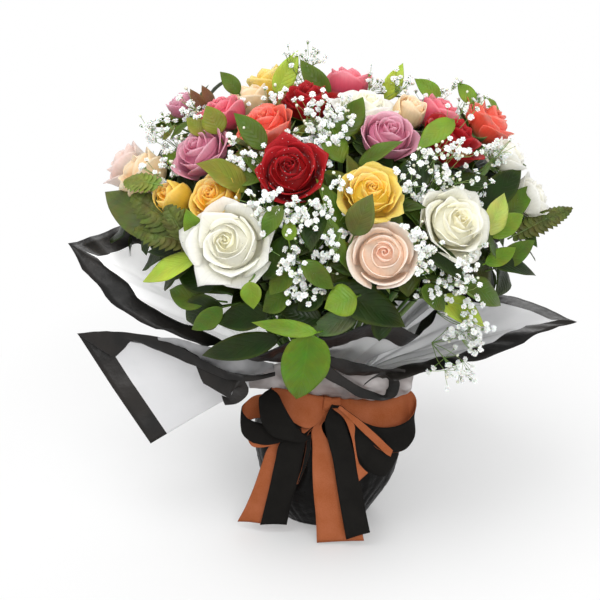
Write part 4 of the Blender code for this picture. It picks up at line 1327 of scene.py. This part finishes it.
def kept_in_sight():
    """The blooms of the front and the leaves with a place of their own, as points and radii that stay uncovered."""
    kept = [(centre, size * 0.8) for centre, _, size in ROSE_SIZES.values() if centre.y < 60]
    for _, near, root, tip, width, _ in LEAVES:
        for share in (0.35, 0.7):
            kept.append((middle(near) + Vector(root).lerp(Vector(tip), share), width * 0.42))
    for _, near, root, tip, *_ in FERNS:
        for share in (0.2, 0.4, 0.6, 0.8):
            kept.append((middle(near) + Vector(root).lerp(Vector(tip), share), 11))
    return [(seen_from_front(centre), reach) for centre, reach in kept]


# How low the greenery may hang at the front, as (across, up) seen from the front
SKIRT = [
    (-230, 300), (-185, 272), (-161, 240), (-141, 207), (-132, 196), (-97, 171), (-71, 166), (39, 168), (77, 175),
    (111, 179), (147, 191), (176, 208), (205, 228), (240, 250),
]


def well_placed(start, end, width, kept):
    """Whether a leaf that fills a gap covers nothing that is meant to show, and hangs no lower than the skirt."""
    if end.y > 30:
        return end.z > 222
    for share in (0.4, 0.75, 1.0):
        across, up, back = seen_from_front(start.lerp(end, share))
        hem = [(a, b) for a, b in zip(SKIRT, SKIRT[1:]) if a[0] <= across < b[0]]
        if not hem:
            return False
        (x, low), (next_x, next_low) = hem[0]
        if up < blend(low, next_low, (across - x) / (next_x - x)) + width * 0.2:
            return False
        for (x, y, depth), reach in kept:
            if back < depth + 3 and math.hypot(across - x, up - y) < reach + width * 0.3 * (1 - share * 0.6):
                return False
    return True


def low_side(start, end, reach):
    """Whether a leaf lies low over the film at one side, further out than the given reach."""
    return abs(end.x) > reach and end.y < 90 and min(start.z, end.z) < 262


def over_left_film(start, end):
    """Whether a leaf would cover the film that shows at the left."""
    return end.x < 0 and low_side(start, end, 125 if end.y > 10 else 160)


def hanging_look(start, end, otherwise):
    """Leaves low at one side face the front, and the others as given."""
    return Vector((end.x * 0.002, -1.0, 0.35)) if low_side(start, end, 100) else otherwise


def with_painted_shade(colour, spot):
    """A leaf's green with painted shade: darker towards the bottom of the bouquet, where the lower leaves lie in
    shadow.
    """
    return tuple(channel * blend(0.42, 0.92, ease(215, 300, spot.z)) for channel in colour)


def frond(shape, root, tip, face, seed, colour, pairs, width):
    """A fern frond: a thin midrib with a leaflet on each side at every step, shorter towards both ends."""
    rng = random.Random(seed)
    span = tip - root
    forward = span.normalized()
    over = (face - forward * face.dot(forward)).normalized()
    aside = forward.cross(over)
    steer = root + span * 0.5 + over * span.length * 0.12

    def midrib(t):
        return root * (1 - t) ** 2 + steer * (2 * t * (1 - t)) + tip * t ** 2

    line = [midrib(step / 10) for step in range(11)]
    sweep(shape, line, (0.7, 0.2), 4, (mixed(colour, STEM_PALE, 0.5), colour), False)
    for pair in range(pairs):
        t = (pair + 1) / (pairs + 1)
        spot = midrib(t)
        reach = width * math.sin(math.pi * t ** 0.8) ** 0.7 * rng.uniform(0.9, 1.08)
        for side in (-1, 1):
            end = spot + aside * (side * reach * 0.86) + forward * reach * 0.5 - over * reach * 0.12
            green = mixed(colour, FERN, rng.random() * 0.3)
            breadth = span.length / pairs * 1.5
            blade(shape, spot, end, breadth, over, 0.08, 0.15, 0.08, 0.1, green, seed + pair, 2, 5, 0.36)


def leaf_look(spot):
    """The way a leaf faces: out from the bouquet and up."""
    return ((spot - FOCUS).normalized() + Vector((0, -0.25 if spot.y < 20 else 0.25, 0.45))).normalized()


def side_of(spot):
    """The spray of greenery that a leaf at this point belongs to."""
    azimuth = math.degrees(math.atan2(spot.x, -spot.y))
    if abs(azimuth) < 38:
        return "front"
    if abs(azimuth) > 112:
        return "back"
    return "right" if azimuth > 0 else "left"


class Greenery:
    """The four sprays of greenery, while their leaves are grown."""

    def __init__(self):
        self.shapes = {key: new_shape() for key in GROUPS}
        self.kept = kept_in_sight()
        self.number = 0

    def fits(self, start, end, width):
        return clear_of_blooms(start, end, width) and well_placed(start, end, width, self.kept)

    def grow(self, key, start, end, width, face, bends, colour, rim, columns=4, rows=8, widest=0.40):
        """One leaf; bends are its arch, fold, curl and ripple."""
        self.number += 1
        blade(self.shapes[key], start, end, width, face, *bends, colour, self.number, columns, rows, widest, rim)

    def fill(self, start, end, width, face, bends, colour, rows=8):
        """One leaf that fills a gap, in the spray that it lies in."""
        self.grow(side_of(end), start, end, width, face, bends, colour, mixed(colour, BRIGHT, 0.12), rows=rows)

    def placed_leaves(self):
        """The leaves with a place of their own, each with a short stalk."""
        for number, (key, near, root, tip, width, colour) in enumerate(LEAVES, 1):
            rng = random.Random(number * 3)
            base = middle(near)
            start, end = base + Vector(root), base + Vector(tip)
            low_left = colour in (DARK, MID) and end.x < 0 and low_side(start, end, 100)
            hanging = colour is DROOP or end.z > 392 or low_left
            face = Vector((0.12, -1.0, 0.25)) if hanging else leaf_look((start + end) / 2)
            bends = drawn(rng, (0.06, 0.16), (0.15, 0.3), (0.05, 0.16), (0.03, 0.10))
            widest = 0.32 if colour is DROOP else 0.40
            self.grow(key, start, end, width, face, bends, colour, mixed(colour, LIGHT, 0.08), 8, 14, widest)
            inward = (start - FOCUS).normalized()
            heel = start - inward * 16 - (end - start).normalized() * 7
            line = curve_through([heel, start.lerp(heel, 0.5) - inward * 1.5, start], 3)
            sweep(self.shapes[key], line, (0.8, 0.55), 5, (STEM, colour), False)

    def leaves_by_blooms(self):
        """Leaves that fill the gaps between and under the blooms."""
        for order, (name, (centre, axis, size)) in enumerate(ROSE_SIZES.items()):
            rng = random.Random(order + 500)
            stand = stand_on(axis, centre).to_3x3()
            for count in range(11):
                turn = count * GOLDEN_TURN + rng.uniform(-0.3, 0.3)
                out = stand @ Vector((math.cos(turn), math.sin(turn), 0))
                start = centre - axis * size * rng.uniform(0.75, 1.15) + out * size * rng.uniform(0.25, 0.5)
                length = rng.uniform(28, 48)
                way = (out * rng.uniform(0.75, 1.0) + axis * rng.uniform(0.15, 0.75)).normalized()
                end = start + way * length
                width = length * rng.uniform(0.42, 0.56)
                if not clear_of_blooms(start, end, width):
                    length *= 0.72
                    width *= 0.8
                    end = start + way * length
                    if not clear_of_blooms(start, end, width, (name,)):
                        continue
                if abs(end.x) > 205 or over_left_film(start, end) or not well_placed(start, end, width, self.kept):
                    continue
                green = rng.choice((MID, MID, DARK, BRIGHT, OLIVE))
                colour = with_painted_shade(mixed(DARK, green, rng.uniform(0.1, 0.8)), end)
                face = (axis + out * -0.3 + Vector(drawn(rng, (-0.3, 0.3), (-0.3, 0.3), (-0.1, 0.4)))).normalized()
                face = hanging_look(start, end, face)
                bends = drawn(rng, (-0.02, 0.14), (0.12, 0.3), (0.0, 0.2), (0.03, 0.12))
                self.fill(start, end, width, face, bends, colour)

    def skirt_leaves(self):
        """Rings of broad leaves between the outer blooms and the collar."""
        for near_reach, out_reach, low, high, leaves_in in RINGS:
            for count in range(leaves_in):
                rng = random.Random(count + 900 + leaves_in)
                azimuth = (count + rng.uniform(-0.3, 0.3)) * 360 / leaves_in
                reach = near_reach + rng.uniform(-6, 6)
                start = around(reach, azimuth + rng.uniform(-8, 8), blend(low, high, rng.uniform(0.1, 0.6)))
                end = around(out_reach + rng.uniform(-8, 10), azimuth, blend(low, high, rng.uniform(0.3, 1.0)))
                width = rng.uniform(22, 34)
                if over_left_film(start, end) or not self.fits(start, end, width):
                    continue
                green = rng.choice((MID, DARK, MID, BRIGHT))
                colour = with_painted_shade(mixed(DARK, green, rng.uniform(0.1, 0.7)), end)
                face = hanging_look(start, end, leaf_look(end) + UP * 0.5)
                bends = drawn(rng, (0.04, 0.16), (0.15, 0.3), (0.05, 0.25), (0.04, 0.1))
                self.fill(start, end, width, face, bends, colour, 9)

    def dome_leaves(self):
        """Leaves that close the dome under and between the blooms, and tips that stand up among them."""
        for layer, (leaves_in, under, over, lift) in enumerate(DOME):
            for count in range(leaves_in):
                rng = random.Random(count + 2000 * (layer + 1))
                rise = 0.10 + 0.90 * (count + 0.5) / leaves_in
                azimuth = count * GOLDEN_AZIMUTH + rng.uniform(-4, 4)
                out = around(math.sqrt(max(0.0, 1 - rise * rise)), azimuth, rise)
                way = out.orthogonal().normalized()
                way.rotate(Matrix.Rotation(rng.uniform(0, 6.28), 3, out))
                length = rng.uniform(34, 50)
                spot = FOCUS + out * rng.uniform(under, over)
                start = spot - way * length * 0.5
                end = spot + way * length * 0.5 + out * length * lift
                width = length * rng.uniform(0.46, 0.6)
                if end.z <= 222 or not self.fits(start, end, width):
                    continue
                green = rng.choice((MID, DARK, MID, BRIGHT, OLIVE))
                # Leaves of the under layer lean further towards DARK, as painted shade deep in the dome
                colour = with_painted_shade(mixed(DARK, green, rng.uniform(0.1, 0.8) * (0.5 + 0.5 * layer)), end)
                bends = drawn(rng, (0.0, 0.14), (0.12, 0.3), (0.0, 0.2), (0.03, 0.12))
                self.fill(start, end, width, out + Vector((0, 0, 0.3)), bends, colour)

    def fronds(self):
        for count, (key, near, root, tip, colour, pairs, width) in enumerate(FERNS):
            base = middle(near)
            start, end = base + Vector(root), base + Vector(tip)
            frond(self.shapes[key], start, end, leaf_look(end), count + 1200, colour, pairs, width)

    def finish(self, material):
        """Gives each spray three stalks from the tie and makes it a piece."""
        for key, (azimuth, height) in GROUPS.items():
            shape = self.shapes[key]
            for spread in (-26, 0, 26):
                line = [
                    around(28.6, azimuth, 138.5),
                    around(28.6, azimuth, 147),
                    around(41, azimuth + spread * 0.4, 164),
                    around(96, azimuth + spread, height),
                ]
                sweep(shape, curve_through(line, 5), (1.6, 1.0), 6, (STEM, STEM))
            node_name = "foliage_" + key
            finish_piece(node_name + "_leaves", shape, [material], [node_name], wall=0.3)


def make_leaves(finish):
    greenery = Greenery()
    greenery.placed_leaves()
    greenery.leaves_by_blooms()
    greenery.skirt_leaves()
    greenery.dome_leaves()
    greenery.fronds()
    greenery.finish(finish)


# Gypsophila: small double flowers on hair-thin branching stalks

# Each ring of a flower's petals: its petals, how far they lean out, and their length
FLOWER_RINGS = ((5, 0.25, 0.62), (6, 0.85, 0.95), (6, 1.45, 1.05))
STALK = ((0.16, 0.28, 0.07), (0.20, 0.34, 0.09))
FINE_STALK = ((0.20, 0.34, 0.09), (0.24, 0.38, 0.10))


def keep_clear(spot, margin, share=0.97):
    """A point moved out of any bloom that it lies in."""
    for turn in range(3):
        for centre, _, size in ROSE_SIZES.values():
            away = spot - centre
            reach = size * share + margin
            if away.length < reach:
                spot = centre + away.normalized() * reach
    return spot


def puff_shape(seed, bud=False):
    """One flower a millimetre in radius: rings of tiny cupped petals on a green calyx, or a closed bud."""
    shape = new_shape()
    rng = random.Random(seed)
    tint = shape.verts.layers.float_color["tint"]
    made = bmesh.ops.create_cone(shape, cap_ends=True, segments=5, radius1=0.16, radius2=0.34, depth=0.5)["verts"]
    for vertex in made:
        vertex[tint] = (0.60, 0.64, 0.42, 1) if bud and vertex.co.z > 0 else (*STALK[0], 1)
        vertex.co.z -= 0.45
    if bud:
        made = bmesh.ops.create_icosphere(shape, subdivisions=1, radius=0.5)["verts"]
        for vertex in made:
            vertex[tint] = (0.80, 0.82, 0.66, 1)
            vertex.co.z *= 1.25
    for ring, (count, lean, reach) in enumerate(() if bud else FLOWER_RINGS):
        for number in range(count):
            turn = (number + ring * 0.5 + rng.uniform(-0.2, 0.2)) * math.tau / count
            tilt = lean + rng.uniform(-0.2, 0.2)
            out = Vector((math.cos(turn), math.sin(turn), 0))
            rise = out * math.sin(tilt) + UP * math.cos(tilt)
            aside = Vector((-math.sin(turn), math.cos(turn), 0))
            over = rise.cross(aside)
            points, _ = grid(shape, 2, 2)
            long = 0.62 * reach * rng.uniform(0.85, 1.15)
            for across, along, vertex in points:
                side = across * 2 - 1
                width = 0.24 * (0.35 + 1.1 * along - 0.45 * along * along)
                vertex.co = rise * (long * along) + aside * (side * width) - over * (0.10 * (side * side + along))
                shade = 0.88 + 0.10 * along
                vertex[tint] = (shade, shade, shade * 0.97, 1)
    mesh = bpy.data.meshes.new("flower")
    shape.to_mesh(mesh)
    shape.free()
    return mesh


# Each spray cloud: the piece it belongs to, the bloom or spray solid it lies by, its middle from there, its half
# sizes, and its number of flowers
SPRAYS = [
    ("gypsophila_top", "rose_peach_left", (26, -2, 34), (22, 12, 31), 46),
    ("gypsophila_top", "rose_red_top", (1, 28, 23), (26, 12, 12), 26),
    ("gypsophila_top", "rose_coral_left", (43, -20, 5), (25, 12, 22), 104),
    ("gypsophila_top", "rose_coral_left", (9, 20, 20), (12, 12, 9), 14),
    ("gypsophila_top", "rose_coral_left", (-16, -28, -17), (16, 12, 19), 30),
    ("gypsophila_front", "rose_white_front_left", (25, 4, 29), (12, 12, 14), 24),
    ("gypsophila_front", "rose_white_front_left", (47, -8, 6), (11, 12, 25), 40),
    ("gypsophila_front", "rose_blush_front", (-58, 1, 8), (23, 12, 44), 60),
    ("gypsophila_right", "rose_cream_right", (-7, 19, 33), (25, 12, 26), 92),
    ("gypsophila_front_right", "rose_blush_front", (25, 6, 13), (16, 12, 22), 30),
    ("gypsophila_front_right", "rose_cream_right", (-3, -9, -36), (32, 12, 26), 104),
    ("gypsophila_front_right", "rose_cream_right", (11, 3, -78), (24, 12, 16), 34),
    ("gypsophila_front_right", "rose_cream_right", (11, 11, -117), (19, 12, 20), 40),
    ("gypsophila_right", "rose_cream_right", (-30, 13, 36), (18, 12, 24), 34),
    ("gypsophila_top", "rose_mauve_right", (-42, -6, -1), (13, 12, 15), 16),
    ("gypsophila_top", "rose_pink_left", (-12, 9, 10), (25, 12, 13), 26),
    ("gypsophila_left", "rose_mauve_left", (-21, 4, -18), (22, 12, 19), 24),
    ("gypsophila_front", "rose_yellow_centre", (-27, -8, -15), (13, 12, 35), 40),
    ("gypsophila_right", "rose_red_right", (17, -25, -31), (9, 12, 14), 9),
    ("gypsophila_front", "rose_white_front_left", (55, -4, -26), (15, 12, 25), 40),
    ("gypsophila_right", "rose_white_right", (-10, -24, 9), (15, 12, 17), 22),
    ("gypsophila_right", "rose_red_right", (2, -9, 21), (15, 12, 9), 8),
    ("gypsophila_top", "rose_pink_top", (32, -7, 2), (18, 12, 13), 18),
    ("gypsophila_right", "rose_pink_right", (-16, 24, 17), (16, 12, 10), 20),
    ("gypsophila_right", "rose_pink_right", (15, 20, 15), (16, 12, 10), 10),
    ("gypsophila_left", "rose_mauve_left", (-17, 18, 12), (14, 12, 13), 12),
    ("gypsophila_back", "rose_coral_back", (-38, 16, 10), (24, 14, 16), 40),
    ("gypsophila_back", "rose_red_back_right", (-40, 2, 26), (20, 14, 22), 44),
    ("gypsophila_back", "rose_white_back", (-44, -8, 20), (22, 14, 20), 44),
    ("gypsophila_back", "rose_yellow_back_left", (30, 20, 20), (18, 16, 20), 36),
    ("gypsophila_back", "rose_mauve_back_right", (34, -10, 0), (14, 20, 18), 30),
]


def gypsophila_material():
    material, tree, shader = principled("gypsophila", 0.6, Subsurface_Weight=0.15, Subsurface_Scale=0.002)
    grain = noise_node(tree, coordinates(tree), 700.0, 2.0)
    grained(tree, shader, 0.25, grain)
    return material


def make_gypsophila(finish):
    by_piece = {}
    flowers_made = [puff_shape(seed) for seed in range(7)]
    bud_made = puff_shape(60, True)
    for number, (piece_name, near, offset, spread, flowers) in enumerate(SPRAYS):
        flowers = round(flowers * 1.5)
        if piece_name not in by_piece:
            by_piece[piece_name] = new_shape()
        shape = by_piece[piece_name]
        rng = random.Random(number + 300)
        middle_spot = middle(near) + Vector(offset)
        spread = Vector(spread)
        inward = (middle_spot - FOCUS).normalized()
        root = middle_spot - inward * (24 + spread.length * 0.4)
        branches = []
        for _ in range(max(3, flowers // 7)):
            x, y, z = drawn(rng, (-0.95, 0.95), (-0.9, 0.9), (-0.95, 0.95))
            spot = middle_spot + Vector((x * spread.x, y * spread.y, z * spread.z))
            fork = keep_clear(spot - inward * 9, 1.0, 0.92)
            branches.append(fork)
            bend = root.lerp(fork, 0.55) + scatter(rng, 3, 3, 3)
            sweep(shape, curve_through([root, bend, fork], 3), (0.42, 0.3), 3, STALK, False)
        for count in range(flowers):
            fork = branches[count % len(branches)]
            spot = fork + Vector((rng.gauss(0, 5.5), rng.gauss(0, 4.0), rng.gauss(0, 5.5)))
            spot = keep_clear(spot + inward * rng.uniform(5, 13), rng.uniform(1.0, 4.0))
            face = (spot - fork).normalized() + Vector((0, -0.5, 0.25)) * (1 if spot.y < 48 else -0.4)
            face = (face + scatter(rng, 1, 1, 1) * 0.45).normalized()
            size = rng.uniform(3.0, 4.4)
            bud = rng.random() < 0.2
            stand = stand_on(face, spot, rng.uniform(0, 6.28)) @ Matrix.Scale(size * (0.75 if bud else 1), 4)
            add_copy(shape, bud_made if bud else flowers_made[count % 7], stand)
            heel = spot - face * size * 0.6
            bend = fork.lerp(heel, 0.5) + scatter(rng, 1, 1, 1)
            sweep(shape, [fork, bend, heel], (0.26, 0.22), 3, FINE_STALK, False)
    for piece_name, shape in by_piece.items():
        replaced = [piece_name] if piece_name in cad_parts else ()
        finish_piece(piece_name + "_spray", shape, [finish], replaced)
    for mesh in (*flowers_made, bud_made):
        bpy.data.meshes.remove(mesh)


# The room, the light and the camera

FLOOR_REACH = 6000     # millimetres from the vase to each side of the floor


def seen_directly(tree, path):
    """Whether a ray comes from the camera, straight or through film."""
    return maths(tree, "MAXIMUM", path.outputs["Is Camera Ray"], path.outputs["Is Transmission Ray"])


def make_room():
    material, tree, shader = principled("pale_floor", 0.6)
    glow = node(tree, "ShaderNodeEmission")
    glow.inputs["Color"].default_value = (1, 1, 1, 1)
    glow.inputs["Strength"].default_value = 1.0
    shape = new_shape()
    grid(shape, 1, 1)
    bmesh.ops.scale(shape, vec=(FLOOR_REACH, FLOOR_REACH, 1), verts=shape.verts)
    bmesh.ops.scale(shape, vec=(MM, MM, MM), verts=shape.verts)
    mesh = bpy.data.meshes.new("floor")
    shape.to_mesh(mesh)
    shape.free()
    mesh.materials.append(material)
    floor = bpy.data.objects.new("floor", mesh)
    bpy.context.scene.collection.objects.link(floor)
    # Far from the vase the floor fades into the white backdrop, and near it keeps the shadow
    source = node(tree, "ShaderNodeTexCoord")
    shift = node(tree, "ShaderNodeVectorMath", operation="MULTIPLY_ADD")
    shift.inputs[1].default_value = (1.0, 0.66, 1.0)
    shift.inputs[2].default_value = (-0.01, -0.15, 0.0)
    away = node(tree, "ShaderNodeVectorMath", operation="LENGTH")
    link(tree, source.outputs["Object"], shift.inputs[0])
    link(tree, shift.outputs[0], away.inputs[0])
    fade = ranged(tree, away.outputs["Value"], 0.12, 0.40, 0.0, 1.0)
    share = node(tree, "ShaderNodeMixShader")
    output = [n for n in tree.nodes if n.type == "OUTPUT_MATERIAL"][0]
    path = node(tree, "ShaderNodeLightPath")
    seen = seen_directly(tree, path)
    seen = maths(tree, "MAXIMUM", seen, path.outputs["Is Glossy Ray"])
    dull = mix_colour(tree, path.outputs["Is Camera Ray"], (0.60, 0.60, 0.60), (0.83, 0.83, 0.83))
    link(tree, dull, shader.inputs["Base Color"])
    link(tree, maths(tree, "MULTIPLY", fade, seen), share.inputs["Fac"])
    link(tree, shader.outputs["BSDF"], share.inputs[1])
    link(tree, glow.outputs["Emission"], share.inputs[2])
    link(tree, share.outputs["Shader"], output.inputs["Surface"])


def make_world():
    world = bpy.data.worlds.new("studio")
    world.use_nodes = True
    bpy.context.scene.world = world
    tree = world.node_tree
    back = tree.nodes["Background"]
    path = node(tree, "ShaderNodeLightPath")
    seen = seen_directly(tree, path)
    back.inputs["Color"].default_value = (1, 1, 1, 1)
    link(tree, ranged(tree, seen, 0, 1, 0.62, 1.0), back.inputs["Strength"])


def make_lamp(name, place, aim, size, power):
    lamp = bpy.data.lights.new(name, "AREA")
    lamp.shape = "DISK"
    lamp.size = size
    lamp.energy = power
    made = bpy.data.objects.new(name, lamp)
    made.location = place
    made.rotation_mode = "QUATERNION"
    made.rotation_quaternion = (Vector(aim) - Vector(place)).to_track_quat("-Z", "Y")
    bpy.context.scene.collection.objects.link(made)


def make_camera():
    lens = bpy.data.cameras.new("camera")
    lens.lens = 100
    lens.sensor_width = 36
    lens.clip_start, lens.clip_end = 0.05, 50
    camera = bpy.data.objects.new("camera", lens)
    bpy.context.scene.collection.objects.link(camera)
    rise = math.radians(18)
    forward = Vector((0, math.cos(rise), -math.sin(rise)))
    camera.location = mm((-22, 0, 204)) - forward * 1.5
    camera.rotation_mode = "QUATERNION"
    camera.rotation_quaternion = forward.to_track_quat("-Z", "Y")
    bpy.context.scene.camera = camera


def light_scene():
    make_room()
    make_world()
    make_lamp("soft_overhead", (-0.45, -0.6, 1.7), (0, 0, 0.25), 1.3, 15)
    make_lamp("front_fill", (0.35, -1.9, 1.0), (0, 0, 0.2), 1.1, 19.5)
    make_lamp("back_rim", (0.3, 1.4, 1.1), (0, 0, 0.25), 1.0, 7)
    bpy.context.scene.view_settings.view_transform = "Standard"


ROSE_SIZES = make_roses()
green_stem = stem_material()
make_stems(green_stem)
make_sepals(green_stem)
make_wrap()
give_plain_finishes()
make_bow()
film_finishes = film_materials()
make_collar(film_finishes)
make_neck_folds(film_finishes)
make_leaves(leaf_material())
make_gypsophila(gypsophila_material())
make_camera()
light_scene()
